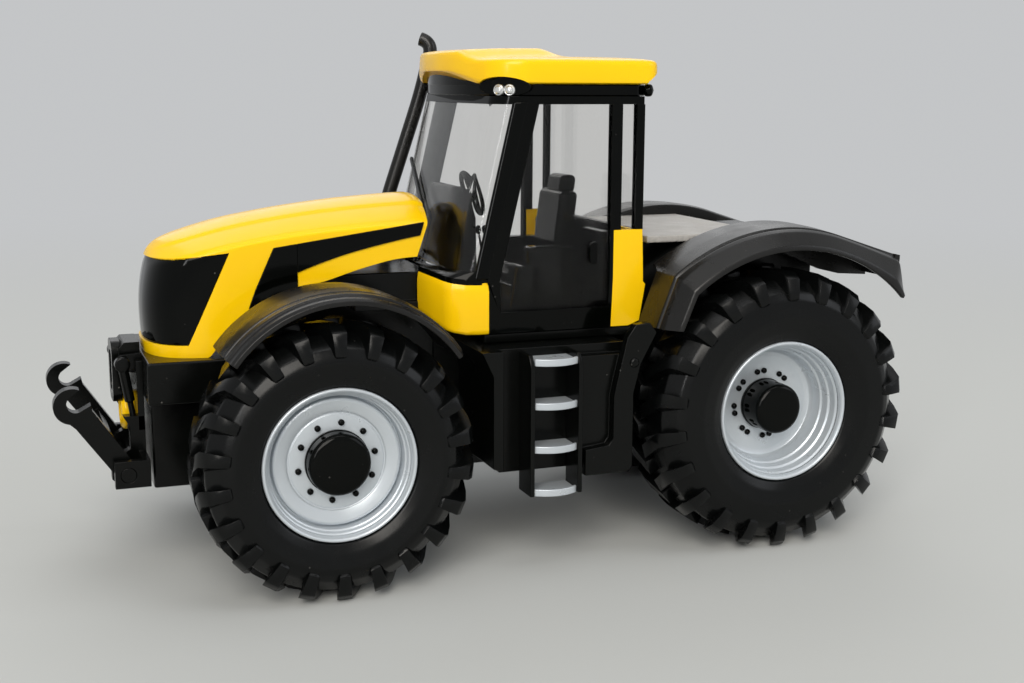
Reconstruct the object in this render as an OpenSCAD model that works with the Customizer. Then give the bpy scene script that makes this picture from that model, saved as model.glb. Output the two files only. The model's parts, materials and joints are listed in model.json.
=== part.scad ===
// Scale-model farm tractor with its cab between the axles, built as separate moulded pieces.
// Millimetres. X runs forward, Y to the left, Z up, and the ground is Z = 0.
// Inside the modules X starts at the rear axle; place() moves it to the middle of the model.

/* [Layout] */
// Rear wall of the cab ahead of the rear axle
cab_rear = 28; // [27:0.2:30]
// Length of the cab
cab_len = 40.6; // [38:0.2:44]
// Front axle ahead of the cab
axle_ahead = 27.4; // [26:0.2:32]
// Nose ahead of the front axle
nose_ahead = 32.2; // [29:0.2:36]

/* [Wheels] */
// Front tyre radius over the lugs
front_tyre_r = 27.2; // [26:0.1:28.4]
// Rear tyre radius over the lugs
rear_tyre_r = 30.1; // [28.8:0.1:31.4]
// Front tyre width
front_tyre_w = 17; // [14:0.5:17.5]
// Rear tyre width
rear_tyre_w = 20.5; // [17:0.5:21]
// Outer face of every tyre from the centre line
tyre_face_y = 40.2; // [39.4:0.1:42]
// Radius of the rim flanges
rim_r = 15; // [14:0.1:16]
// Flange set back from the tyre's outer face
flange_back = 2.2; // [1.6:0.1:2.8]
// Front wheel disc set in from its flange
front_dish = 3.2; // [2:0.1:4.5]
// Rear wheel disc set in from its flange
rear_dish = 8.2; // [5:0.1:9]
// Thickness of the wheel discs
disc_t = 1.6; // [1.2:0.1:2]
// Lugs on each side of a tyre
lug_count = 22; // [16:1:24]
// Height of the lugs
lug_h = 2; // [1.2:0.1:2.4]
// Thickness of a lug round the tyre
lug_t = 3; // [2:0.1:3.6]
// Slant of the lugs across the tread
lug_slant = 28; // [15:1:35]
// Radius of the axle pins
axle_pin_r = 1.6; // [1.3:0.1:2]
// Running gap round every turning pin
running_gap = 0.08; // [0.04:0.01:0.1]

/* [Chassis] */
// Width of the chassis spine
spine_w = 24; // [20:0.5:26]
// Height of the chassis underside
spine_low = 17.5; // [16:0.5:19]
// Height of the engine's seat on the chassis
engine_low = 36.5; // [35.5:0.5:38]
// Width of the front box under the bonnet
front_box_w = 34.8; // [33:0.2:38]

/* [Bonnet] */
// Width of the bonnet
bonnet_w = 30; // [27:0.5:32]
// Height of the bonnet's lower edge at the nose
bonnet_low = 44.9; // [43:0.2:46]
// Height of the nose over that edge
nose_h = 21.6; // [20:0.2:23]
// Rise of the bonnet from the nose to the windscreen
bonnet_rise = 9; // [7:0.2:10]
// Drop of the bonnet's top at the nose
nose_drop = 1.4; // [0.8:0.1:2]
// Wall of the bonnet
bonnet_wall = 1.6; // [1.2:0.1:2]
// Lip of the bonnet under the grille panel
grille_lip = 2.4; // [1.8:0.1:3]
// Thickness of the stripes on the bonnet sides
stripe_t = 0.4; // [0.3:0.1:0.6]

/* [Cab] */
// Width of the cab
cab_w = 52; // [48:0.5:56]
// Height of the underside of the cab
cab_low = 46; // [45:0.2:47]
// Thickness of the cab floor
floor_t = 2.1; // [1.6:0.1:2.6]
// Height of the front corner panels
corner_h = 10.6; // [9:0.2:12]
// Height of the black strip under the windscreen
strip_h = 1.4; // [1:0.1:2]
// Height of the windscreen
glass_h = 34; // [30:0.5:38]
// Height of the rear corner panels
rear_panel_h = 20.4; // [18:0.2:23]
// Height of the sill strip under the doors
sill_h = 4.4; // [3:0.2:6]
// How far the windscreen leans back over its height
screen_lean = 8; // [6:0.2:9]
// Radius of the cab's front corners
corner_r = 6; // [5:0.2:7]
// Width of the pillars
pillar_w = 2.6; // [2:0.1:3.2]
// Thickness of the cab walls and pillars
wall_t = 1.8; // [1.4:0.1:2.2]
// Thickness of the clear window pieces
glass_t = 1; // [0.8:0.1:1.3]

/* [Roof] */
// Roof past each side of the cab
roof_side = 0.5; // [0.2:0.1:1.5]
// Roof ahead of the top of the windscreen
roof_over = 4.6; // [3:0.2:6]
// Roof behind the rear wall of the cab
roof_tail = 3.4; // [2:0.2:5]
// Height of the black header over the windows
header_h = 1.6; // [1.2:0.1:2.4]
// Height of the black base under the roof
roof_base_h = 2.4; // [2:0.1:3]
// Height of the roof
roof_h = 7.4; // [6:0.2:9]
// Radius of the roof lamps
lamp_r = 1.15; // [0.8:0.05:1.2]

/* [Mudguards] */
// Outer face of the mudguards from the centre line
guard_y = 40; // [38.5:0.1:41]
// Gap over the top of the front tyres
front_guard_gap = 3.9; // [3.4:0.1:5]
// Gap over the top of the rear tyres
rear_guard_gap = 4.2; // [3.4:0.1:5]
// Thickness of the mudguards
guard_t = 1.6; // [1.2:0.1:2]
// Width of the rear deck
deck_w = 44; // [40:0.5:46]
// Height of the rear deck
deck_z = 66.5; // [65:0.1:68]
// Thickness of the rear deck
deck_t = 1.5; // [1:0.1:2]

/* [Hitches] */
// Length of the front link arms from pivot to hook
front_link_len = 17; // [14:0.2:19]
// Resting angle of the front link arms above level
front_link_rise = 57; // [45:1:65]
// Length of the rear link arms from pivot to hook
rear_link_len = 27; // [24:0.2:30]
// Resting angle of the rear link arms above level
rear_link_rise = 12; // [0:1:20]
// Thickness of the link arms
link_t = 3; // [2.4:0.1:3.4]
// Outer radius of the hooks
hook_out = 3.5; // [3.2:0.1:4.2]
// Radius of the round seats in the hooks
hook_r = 1.7; // [1.4:0.1:2]
// Radius of the pins the arms turn on
link_pin_r = 1.5; // [1.2:0.1:1.7]
// Radius of the drawbar's pin hole
drawbar_hole_r = 1.5; // [1.2:0.1:2]
// Thickness of the drawbar
drawbar_t = 3.4; // [2.6:0.2:4]

/* [Access] */
// Outer edge of the ladder from the centre line
ladder_y = 38.4; // [37.4:0.2:39.6]
// Width of the ladder
ladder_w = 11.3; // [9:0.1:12]
// Height of the lowest step
step_low = 16.7; // [14:0.2:18]
// Number of steps
step_count = 4; // [3:1:5]
// Side tanks from the centre line
tank_y = 33.6; // [32.4:0.2:34.6]
// Height of the underside of the side tanks
tank_low = 19.5; // [18:0.2:22]

/* [Hidden] */
$fn = 48;
fine = 96;
seat_gap = 0.3;
spine = spine_w / 2;
bw = bonnet_w / 2;
cw = cab_w / 2;
cab_front = cab_rear + cab_len;
front_x = cab_front + axle_ahead;
nose_x = front_x + nose_ahead;
front_z = front_tyre_r;
rear_z = rear_tyre_r;
floor_z = cab_low + floor_t;
waist_z = floor_z + corner_h;
screen_low = waist_z + strip_h;
glass_top = screen_low + glass_h;
header_z = glass_top + header_h;
roof_low = header_z + roof_base_h;
roof_z = roof_low + roof_h;
rear_sill = floor_z + rear_panel_h;
lean_deg = atan2(screen_lean, glass_h);
pillar_x = cab_front - corner_r - 0.6;
door_rear = cab_rear + 7.4;
deck_low = deck_z - deck_t;
body_back = -19;
spine_back = -12;
// Front box, and the lift in front of it
box_back = front_x + 16;
box_front = nose_x + 0.4;
pivot_x = box_front + 4.2;
pivot_z = 23;
rear_pivot_x = spine_back - 4;
rear_pivot_z = 20.5;
hook_drop = 0.6;
drawbar_x = -32;
drawbar_z = 9;
front_reach = pivot_x + front_link_len * cos(front_link_rise) + hook_drop * sin(front_link_rise) + hook_out;
rear_reach = rear_link_len * cos(rear_link_rise) + hook_drop * sin(rear_link_rise) + hook_out - rear_pivot_x;
x_mid = (front_reach - rear_reach) / 2;
// Places along each wheel's axle, from the centre line
flange_y = tyre_face_y - flange_back;
front_disc_y = flange_y - front_dish;
rear_disc_y = flange_y - rear_dish;
pin_past_disc = 0.2;
yellow = [0.98, 0.76, 0.05];
black = [0.1, 0.1, 0.11];
grey = [0.3, 0.31, 0.32];
silver = [0.72, 0.73, 0.74];
clear = [0.7, 0.8, 0.85, 0.35];

// Helpers

module place() { translate([-x_mid, 0, 0]) children(); }
module right() { mirror([0, 1, 0]) children(); }
module both() {
    children();
    right() children();
}
module box(x0, x1, y0, y1, z0, z1) { translate([x0, y0, z0]) cube([x1 - x0, y1 - y0, z1 - z0]); }
// A side outline in X and Z, from y0 to y1
module side(pts, y0, y1) {
    translate([0, y1, 0]) rotate([90, 0, 0]) linear_extrude(height = y1 - y0) polygon(pts);
}
module rod_y(x, z, r, y0, y1) { translate([x, y0, z]) rotate([-90, 0, 0]) cylinder(r = r, h = y1 - y0); }
// Children drawn with the axle along Z, the outer face up
module about(x, z) { translate([x, 0, z]) rotate([-90, 0, 0]) children(); }
module at_front() { about(front_x, front_z) children(); }
module at_rear() { about(0, rear_z) children(); }
// A section of radius and Y swept round the axle, between two angles above level
module swept(a0, a1) { rotate([0, 0, -a1]) rotate_extrude(angle = a1 - a0, $fn = fine) children(); }

function arc(cx, cy, r, a0, a1, n) =
    [for (i = [0:n]) let (a = a0 + (a1 - a0) * i / n) [cx + r * cos(a), cy + r * sin(a)]];
function lift(pts, z) = [for (p = pts) [p[0], p[1], z]];
function turned(pts) = [for (i = [len(pts) - 1:-1:0]) pts[i]];
function flipped(pts) = [for (p = turned(pts)) [p[0], -p[1]]];

// Skin a list of rings, each turning left as seen along the way they are stacked
module loft(rings) {
    n = len(rings[0]);
    m = len(rings);
    polyhedron(points = [for (r = rings) each r],
        faces = concat([[for (i = [0:n - 1]) i]],
            [for (j = [0:m - 2]) for (i = [0:n - 1]) let (k = (i + 1) % n, a = j * n, b = a + n)
                each [[a + i, b + i, b + k], [a + i, b + k, a + k]]],
            [[for (i = [n - 1:-1:0]) (m - 1) * n + i]]));
}

// Chassis, engine and axles

module chassis() {
    rear_house = 18.6;
    front_house = 21.6;
    color(black) difference() {
        union() {
            side([[spine_back, spine_low], [spine_back, cab_low - 1.5], [cab_rear - 2, cab_low - 1.5],
                [cab_rear - 2, cab_low], [cab_front + 0.8, cab_low], [cab_front + 0.8, engine_low],
                [box_back, engine_low], [box_back, spine_low]], -spine, spine);
            side([[-7, rear_z - 6], [-7, rear_z + 6], [-4, rear_z + 9], [4, rear_z + 9], [7, rear_z + 6],
                [7, rear_z - 6]], -rear_house, rear_house);
            side([[front_x - 6, front_z - 5], [front_x - 6, front_z + 4], [front_x - 3, front_z + 6],
                [front_x + 3, front_z + 6], [front_x + 6, front_z + 4], [front_x + 6, front_z - 5]],
                -front_house, front_house);
        }
        rod_y(0, rear_z, axle_pin_r + 0.02, -rear_house - 1, rear_house + 1);
        rod_y(front_x, front_z, axle_pin_r + 0.02, -front_house - 1, front_house + 1);
    }
}

engine_w = bonnet_w - 2 * bonnet_wall - 2 * seat_gap;
engine_top = bonnet_low + 15;

module engine_block() {
    color(black) {
        box(cab_front + 1.2, box_back - 2.4, -engine_w / 2, engine_w / 2, engine_low, engine_top);
        box(cab_front + 1.2, box_back - 14, -engine_w / 2 - 0.8, engine_w / 2 + 0.8, engine_low + 4,
            engine_top - 6);
    }
}

module rear_body() {
    color(black) box(body_back, cab_rear - 2.4, -deck_w / 2 + 5, deck_w / 2 - 5, cab_low - 1.5, deck_low);
}

module front_frame() {
    color(black) {
        box(box_back, box_front, -front_box_w / 2, front_box_w / 2, engine_low, bonnet_low);
        box(box_back, box_front - 1, -spine, spine, spine_low + 1, engine_low + 1);
    }
}

module front_axle() {
    color(silver) rod_y(front_x, front_z, axle_pin_r, -front_disc_y - pin_past_disc,
        front_disc_y + pin_past_disc);
}
module rear_axle() {
    color(silver) rod_y(0, rear_z, axle_pin_r, -rear_disc_y - pin_past_disc, rear_disc_y + pin_past_disc);
}

// Wheels: each is drawn on the left, with the axle along Z

bead_r = rim_r - 1;

module carcass(r, w) {
    c = r - lug_h;
    hw = w / 2;
    half = [[bead_r, hw - flange_back], [rim_r, hw - flange_back], [rim_r + 2.4, hw - 0.8],
        [rim_r + 5.4, hw], [c - 3.4, hw - 0.5], [c - 1, hw - 2.2], [c, hw - 4.6]];
    rotate_extrude($fn = fine) polygon(concat(turned(half), flipped(turned(half))));
}

// One lug: a bar from near the middle of the tread, bent over the shoulder on to the side wall
module lug(r, w) {
    c = r - lug_h;
    hw = w / 2 - sin(lug_slant) * lug_t / 2;
    top = sqrt(r * r - lug_t * lug_t / 4);
    k = 1 / cos(lug_slant);
    rotate([90, 0, 0]) rotate([lug_slant, 0, 0]) translate([0, 0, -lug_t / 2])
        linear_extrude(height = lug_t) polygon([[c - 1.4, 0.4], [top, 0.4], [top - 0.45, (hw - 2) * k],
        [top - 1.6, (hw - 0.5) * k],
            [c - 3.2, hw * k], [c - 4, (hw - 0.8) * k], [c - 4, (hw - 3) * k]]);
}

module tyre(r, w) {
    pitch = 360 / lug_count;
    translate([0, 0, tyre_face_y - w / 2]) {
        carcass(r, w);
        for (i = [0:lug_count - 1]) {
            rotate([0, 0, pitch * i]) lug(r, w);
            rotate([0, 0, pitch * (i + 0.5)]) mirror([0, 0, 1]) lug(r, w);
        }
    }
}

module rim(disc_y, w) {
    y1 = flange_y;
    y0 = tyre_face_y - w + flange_back - 0.8;
    well = bead_r - 1.2;
    hub = axle_pin_r + 3;
    difference() {
        rotate_extrude($fn = fine) polygon([[0, y0], [hub, y0], [hub, disc_y - disc_t],
            [well, disc_y - disc_t],
            [well, y0], [rim_r - 0.4, y0], [rim_r - 0.4, y0 + 0.8], [bead_r, y0 + 0.8], [bead_r, y1],
            [rim_r, y1],
            [rim_r, y1 + 0.8], [rim_r - 0.9, y1 + 0.8], [well, y1 - 0.7], [well - 0.5, disc_y + 1.6],
            [well - 1.6, disc_y + 1.2], [well - 2.2, disc_y], [0, disc_y]]);
        translate([0, 0, y0 - 1]) cylinder(r = axle_pin_r + running_gap, h = disc_y - y0 + 2);
    }
}

// A cap over the end of the axle pin
module cap(disc_y, r, h) {
    hollow = axle_pin_r + 0.6;
    translate([0, 0, disc_y]) rotate_extrude() polygon([[hollow, 0], [r, 0], [r, h * 0.2],
        [r * 0.97, h * 0.26],
        [r * 0.97, h * 0.84], [r * 0.86, h], [0, h], [0, pin_past_disc + 0.6],
        [hollow, pin_past_disc + 0.6]]);
}

module front_left_tyre() { color(black) at_front() tyre(front_tyre_r, front_tyre_w); }
module front_left_rim() { color(silver) at_front() rim(front_disc_y, front_tyre_w); }
module front_left_cap() { color(black) at_front() cap(front_disc_y, 6.3, front_dish + 0.6); }
module front_right_tyre() { right() front_left_tyre(); }
module front_right_rim() { right() front_left_rim(); }
module front_right_cap() { right() front_left_cap(); }
module rear_left_tyre() { color(black) at_rear() tyre(rear_tyre_r, rear_tyre_w); }
module rear_left_rim() { color(silver) at_rear() rim(rear_disc_y, rear_tyre_w); }
module rear_left_cap() { color(black) at_rear() cap(rear_disc_y, 5.6, rear_dish - 1); }
module rear_right_tyre() { right() rear_left_tyre(); }
module rear_right_rim() { right() rear_left_rim(); }
module rear_right_cap() { right() rear_left_cap(); }

// Bonnet: s runs from 0 at the windscreen to 1 at the nose

taper_from = 0.7;
function bonnet_x(s) = cab_front - 1 + (nose_x - cab_front + 1) * s;
function nose_s(s) = max(0, (s - taper_from) / (1 - taper_from));
function crown_z(s) = bonnet_low + nose_h + bonnet_rise * (1 - 0.22 * s - 0.78 * pow(s, 3.2))
    - nose_drop * pow(nose_s(s), 1.9);
function shoulder_z(s) = crown_z(s) - 5 + 1.4 * s;
function half_w(s) = max(1, bw * pow(1 - pow(nose_s(s), 3.4), 1 / 2.6));
function bonnet_ring(s) = let (w = half_w(s), x = bonnet_x(s), z = shoulder_z(s), h = crown_z(s) - z)
    concat([[x, w, bonnet_low], [x, w, z]],
        [for (i = [1:15]) let (c = cos(180 * i / 16), v = sin(180 * i / 16))
            [x, w * sign(c) * pow(abs(c), 0.72), z + h * pow(v, 0.8)]],
        [[x, -w, z], [x, -w, bonnet_low]]);
module bonnet_body() {
    stations = [0, 0.14, 0.28, 0.42, 0.56, taper_from, 0.78, 0.84, 0.88, 0.92, 0.95, 0.975, 0.99, 1];
    loft([for (s = stations) bonnet_ring(s)]);
}
// What the grille panel takes out of the nose
module nose_cut() {
    low = bonnet_low + grille_lip;
    top = bonnet_low + nose_h;
    side([[nose_x - 8, low], [nose_x - 16.4, top - 1.1], [nose_x + 1, top - 2.8], [nose_x + 1, low]],
        -cab_w, cab_w);
}
// The bonnet from the side: leant at the windscreen, swept up behind the front wheel
module bonnet_outline() {
    z = bonnet_low;
    side([[cab_front + 5.5, z + 17], [cab_front - 0.6, z + 35], [nose_x + 5, z + 35], [nose_x + 5, z],
        [box_back + 4, z], [box_back, z + 5.6], [box_back - 6, z + 10.6], [box_back - 12, z + 12.9],
        [box_back - 19, z + 14.2], [box_back - 30, z + 17.3]], -cab_w, cab_w);
}

module bonnet() {
    hollow = bw - bonnet_wall;
    color(yellow) difference() {
        intersection() {
            bonnet_body();
            bonnet_outline();
        }
        nose_cut();
        box(cab_front - 5, nose_x - 17, -hollow, hollow, engine_low, engine_top + seat_gap);
    }
}

module grille_panel() {
    color(black) intersection() {
        bonnet_body();
        nose_cut();
    }
}

module bonnet_side_panels() {
    z = bonnet_low;
    color(black) both()
        side([[cab_front + 3.6, z + 25.4], [cab_front + 4.4, z + 22.7], [front_x - 8.5, z + 19.8],
            [front_x + 2.6, z + 16.2], [front_x + 3, z + 13], [front_x + 8, z + 11.6],
            [front_x + 11.4, z + 11.4],
            [front_x + 11, z + 13], [front_x + 7.2, z + 21.2]], bw, bw + stripe_t);
}

// Front lift

cheek_in = 6.8;
cheek_out = 9.4;
arm_in = 11.6;
beam_y = arm_in + link_t + 2.2;

module front_hitch_frame() {
    plate_t = 1.4;
    low = spine_low + 2;
    top = bonnet_low + 2.2;
    head = box_front + 5.4;
    head_low = bonnet_low - 4;
    lug_end = pivot_x + 2.6;
    lug_low = pivot_z - 2.6;
    lug_top = pivot_z + 2.8;
    color(black) difference() {
        union() {
            box(box_front, box_front + plate_t, -cheek_out, cheek_out, low, top);
            box(box_front, head, -cheek_out, cheek_out, head_low, top);
            box(box_front, box_front + plate_t, -beam_y, beam_y, lug_low, lug_top);
            both() {
                side([[box_front, low], [box_front, head_low + 1], [head, head_low + 1],
                    [head, pivot_z + 12],
                    [box_front + 3, pivot_z + 8], [box_front + 3, pivot_z + 3.4], [lug_end, pivot_z + 1.4],
                    [lug_end, lug_low], [lug_end - 1, low]], cheek_in, cheek_out);
                box(box_front, lug_end, beam_y - 1.8, beam_y, lug_low, lug_top);
            }
        }
        rod_y(pivot_x, pivot_z, link_pin_r + 0.02, -beam_y - 1, beam_y + 1);
    }
}

module front_pto_guard() {
    color(yellow) translate([box_front + 1.4, 0, pivot_z + 10.3]) rotate([0, 90, 0]) difference() {
        cylinder(r = 3.5, h = 2.2);
        translate([0, 0, 0.8]) cylinder(r = 2.3, h = 2);
    }
}

module front_link_pin() { color(silver) rod_y(pivot_x, pivot_z, link_pin_r, -beam_y, beam_y); }

// One link arm along X with its pivot at the origin and its hook open upwards
module link_arm(length, y0) {
    y1 = y0 + link_t;
    hub = link_pin_r + 1;
    difference() {
        union() {
            rod_y(0, 0, hub, y0, y1);
            side([[0, -2.1], [0, 2.1], [length - 3, 1.9], [length, 3], [length, -3.6],
                [length - 4, -2.6]], y0, y1);
            rod_y(length, -hook_drop, hook_out, y0, y1);
        }
        rod_y(0, 0, link_pin_r + running_gap, y0 - 1, y1 + 1);
        rod_y(length, 0.2, hook_r, y0 - 1, y1 + 1);
        side([[length - hook_r, 0.2], [length - hook_r - 0.3, hook_out + 1],
            [length + hook_r + 0.3, hook_out + 1],
            [length + hook_r, 0.2]], y0 - 1, y1 + 1);
    }
}

module front_lower_links() {
    color(black) translate([pivot_x, 0, pivot_z]) rotate([0, -front_link_rise, 0]) {
        both() link_arm(front_link_len, arm_in);
        box(5.4, 8, -arm_in, arm_in, -1.3, 1.3);
    }
}

// Cab

// The cab's front in plan from one door to the other, set in by t
function front_pts(t, end) = let (half = concat([[end, cw - 0.4 - t]],
        arc(cab_front - corner_r, cw - 0.4 - corner_r, corner_r - t, 90, 10, 8), [
        [cab_front + 0.4 - t, cw - 14]]))
    concat(half, [[cab_front + 0.8 - t, 0]], flipped(half));
function band(t, end) = concat(turned(front_pts(0, end)), front_pts(t, end));
// Lean children back with the windscreen, about its lower edge
module leaned() {
    translate([cab_front, 0, screen_low]) rotate([0, -lean_deg, 0])
        translate([-cab_front, 0, -screen_low]) children();
}
// Where the door's front edge lies at a height
function door_front(z) = pillar_x - pillar_w - (z - screen_low) * tan(lean_deg);

module cab_tub() {
    seat_box = cab_rear + 8;
    color(black) {
        box(cab_rear, cab_front - corner_r, -cw + 0.4, cw - 0.4, cab_low, floor_z);
        box(cab_rear, cab_rear + wall_t, -17.6, 17.6, cab_low, rear_sill);
        box(seat_box, seat_box + 15, -9, 9, cab_low, floor_z + 7.4);
        box(cab_rear + 4, cab_rear + 16, -20, -10.6, cab_low, floor_z + 14);
    }
}

module cab_shell() {
    color(yellow) {
        translate([0, 0, floor_z]) linear_extrude(height = corner_h) polygon(band(wall_t, pillar_x));
        both() {
            side([[cab_rear, rear_sill], [cab_rear - 0.4, floor_z + 9.4], [cab_rear - 1, floor_z + 8.8],
                [cab_rear, floor_z + 1], [cab_rear + 2.6, floor_z], [cab_rear + 6.6, floor_z],
                [cab_rear + 6.6, rear_sill]], cw - wall_t, cw);
            box(cab_rear, cab_rear + wall_t, 17.6, cw - wall_t, floor_z, rear_sill);
        }
    }
}

module cab_frame() {
    low = pillar_x + (screen_low - waist_z) * tan(lean_deg);
    top = pillar_x - screen_lean;
    quarter = door_rear - pillar_w + 0.2;
    inner = cw - wall_t - 0.2;
    color(black) {
        translate([0, 0, waist_z]) linear_extrude(height = strip_h) polygon(band(wall_t + 0.2, pillar_x));
        both() {
            side([[low - pillar_w, waist_z], [low, waist_z], [top, glass_top],
                [top - pillar_w, glass_top]], inner, cw);
            box(pillar_x - pillar_w, pillar_x, inner, cw, floor_z, waist_z);
            box(cab_rear + 6.6, pillar_x - pillar_w, inner, cw, floor_z, floor_z + sill_h);
            box(quarter, door_rear, inner, cw, rear_sill, glass_top);
            box(cab_rear + 6.6, door_rear, inner, cw, floor_z + sill_h, rear_sill);
            box(cab_rear, cab_rear + wall_t, inner, cw, rear_sill, glass_top);
        }
        difference() {
            intersection() {
                leaned() translate([0, 0, screen_low]) linear_extrude(height = glass_h + header_h + 20)
                    polygon(front_pts(0, cab_rear - 20));
                box(cab_rear, cab_front, -cw, cw, glass_top, header_z);
            }
            box(cab_rear + 3, cab_front - screen_lean - 4, -cw + 3, cw - 3, glass_top - 1, header_z + 1);
        }
    }
}

module windscreen() {
    color(clear) intersection() {
        leaned() linear_extrude(height = glass_top + 30) polygon(band(glass_t, pillar_x + 0.4));
        box(cab_rear, cab_front + 5, -cw, cw, screen_low, glass_top);
    }
}

module door_windows() {
    color(clear) both()
        side([[door_rear, floor_z + sill_h], [door_rear, glass_top], [door_front(glass_top), glass_top],
            [door_front(waist_z), waist_z], [pillar_x - pillar_w, waist_z],
            [pillar_x - pillar_w, floor_z + sill_h]], cw - 0.5 - glass_t, cw - 0.5);
}

module quarter_windows() {
    color(clear) both()
        box(cab_rear + wall_t, door_rear - pillar_w + 0.2, cw - 0.5 - glass_t, cw - 0.5, rear_sill,
        glass_top);
}

module rear_window() {
    color(clear) box(cab_rear, cab_rear + glass_t, -cw + wall_t + 0.2, cw - wall_t - 0.2, rear_sill,
        glass_top);
}

// Roof

roof_front = cab_front - screen_lean + 0.8 + roof_over;
roof_back = cab_rear - roof_tail;
roof_half = cw + roof_side;
roof_r = 9;
roof_bow = 4.4;
bow_deg = 23;
// Centre and radius of the rounded front corner of the roof, set in by t
function roof_corner(t) = let (r = roof_r - t / 2)
    [roof_front - t - roof_bow - r * cos(bow_deg), roof_half - t - r, r];
// The roof in plan, set in by t
function roof_plan(t) = let (half = roof_half_pts(t)) concat(flipped(half), half);
function roof_half_pts(t) = let (c = roof_corner(t), f = roof_front - t, b = roof_back + t,
    h = roof_half - t,
        y = c[1] + c[2] * sin(bow_deg))
    concat([[f - roof_bow * 0.09, y * 0.3], [f - roof_bow * 0.49, y * 0.7]],
        turned(arc(c[0], c[1], c[2], 90, bow_deg, 8)), [[b + 3, h], [b, h - 3]]);

module roof() {
    rise = [[0.5, 0], [0, 0.14], [0, 0.48], [0.5, 0.6], [1.6, 0.69], [4.5, 0.82], [8.5, 0.94], [14, 1]];
    c = roof_corner(0);
    color(yellow) difference() {
        loft([for (p = rise) lift(roof_plan(p[0]), roof_low + p[1] * roof_h)]);
        side([[roof_back - 1, roof_low - 1], [roof_back + 3.6, roof_low - 1],
            [roof_back + 2.6, roof_low + 0.8],
            [roof_back - 1, roof_low + 3.4]], -roof_half - 1, roof_half + 1);
        both() translate([c[0], c[1], roof_low - 1.2]) rotate([0, 0, 50]) translate([c[2] - 1.4, 0, 0])
            rotate([0, 90, 0]) cylinder(r = 2.8, h = 4);
    }
}

module roof_base() {
    color(black) translate([0, 0, header_z]) linear_extrude(height = roof_base_h) polygon(roof_plan(1.6));
}

module roof_lamps() {
    c = roof_corner(1.6);
    z = header_z + roof_base_h / 2;
    color(silver) both() {
        for (a = [38, 60])
            translate([c[0], c[1], z]) rotate([0, 0, a]) translate([c[2] + 0.04, 0, 0]) rotate([0, 90, 0])
                cylinder(r = lamp_r, h = 1.1);
        translate([roof_back + 1.6 - 1.24, roof_half - 7, z]) rotate([0, 90, 0]) cylinder(r = lamp_r,
            h = 1.2);
    }
}

// Inside the cab

module seat() {
    x = cab_rear + 9;
    z = floor_z + 7.4;
    color(grey) {
        box(x, x + 12, -7, 7, z, z + 4);
        side([[x, z], [x, z + 4], [x - 2, z + 19], [x - 1.4, z + 23], [x + 0.6, z + 23], [x + 1.2, z + 19],
            [x + 3, z + 4], [x + 3, z]], -6.6, 6.6);
    }
}

dash_x = cab_front - corner_r;
// The dashboard's back face, which the steering column stands square on
dash_foot = [dash_x - 4, floor_z + 22];
dash_head = [dash_x - 1.5, floor_z + 28.6];

module dashboard() {
    color(black) side([[dash_x - 5, floor_z], dash_foot, dash_head, dash_head + [2.1, 0],
        [dash_x + 3.6, floor_z + 17], [dash_x + 3.6, floor_z + 12], [dash_x, floor_z + 10],
        [dash_x, floor_z]], -8, 8);
}

module steering() {
    at = (dash_foot + dash_head) / 2;
    slope = dash_head - dash_foot;
    rim_out = 5.2;
    column = 3;
    color(black) translate([at[0], 0, at[1]]) rotate([0, -atan2(slope[1], slope[0]), 0]) {
        cylinder(r = 1.2, h = column + 0.8);
        translate([0, 0, column]) {
            difference() {
                cylinder(r = rim_out, h = 1);
                translate([0, 0, -1]) cylinder(r = rim_out - 1, h = 3);
            }
            box(-rim_out + 0.5, rim_out - 0.5, -0.7, 0.7, 0.1, 0.9);
        }
    }
}

// Fittings

// A straight pipe in a plane along X, between two points given as X and Z
module pipe(p, q, r) {
    d = q - p;
    translate([p[0], 0, p[1]]) rotate([0, atan2(d[0], d[1]), 0]) translate([0, 0, -0.3])
        cylinder(r = r, h = norm(d) + 0.6);
}

pipe_r = 1.6;
pipe_y = max(cw, roof_half) + pipe_r + 0.7;

module exhaust_stack() {
    foot = [cab_front, cab_low + 0.3];
    bend = [cab_front, floor_z + 20.5];
    neck = [cab_front - 9.2, glass_top + 1.3];
    tip = [cab_front - 11, roof_z + 3.4];
    color(grey) translate([0, -pipe_y, 0]) {
        pipe(foot, bend, pipe_r);
        pipe(bend, neck, pipe_r);
        pipe(neck, tip, pipe_r);
    }
}

// The blade runs out to the right, turned a little to follow the bow of the glass
module wiper() {
    color(black) leaned() translate([cab_front + 0.95, 0, screen_low]) rotate([0, 0, -2.1]) rotate(
        [90, 0, 90])
        linear_extrude(height = 0.65)
            polygon([[0.2, 0], [1.4, 0], [1.4, 9.8], [0.6, 10.8], [-20.2, 22], [-20.6, 21.3], [0.2, 9.4]]);
}

// The front guards curve round a point above and behind the axle, so their ends come close to the tyre,
// and their tails end short of the exhaust stack
front_guard_back = 1.6;
front_guard_up = 4.8;
pipe_clear = 1.07;

module front_mudguards() {
    r = front_tyre_r + front_guard_gap - front_guard_up;
    top = r + guard_t;
    inner = tyre_face_y - front_tyre_w - 0.6;
    tail = front_x - front_guard_back - cab_front - pipe_r - pipe_clear;
    color(grey) both() {
        about(front_x - front_guard_back, front_z + front_guard_up)
            swept(36.5, 180 - acos(min(tail / top, 0.94)))
            polygon([[r, inner], [top, inner], [top + 0.2, (inner + guard_y) / 2], [top, guard_y - 3.4],
                [top - 0.4, guard_y - 3], [top, guard_y - 2.6], [top - 0.3, guard_y - 0.8],
                [top - 0.8, guard_y], [r - 0.5, guard_y], [r - 0.5, guard_y - 1.2], [r, guard_y - 1.8]]);
        box(front_x - 13, front_x - 7, engine_w / 2, inner + 0.8, engine_top - 6, engine_top - 3);
    }
}

// The rear guards curve round a point below and behind the axle
rear_guard_back = 1.2;
rear_guard_down = 2.5;

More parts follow.
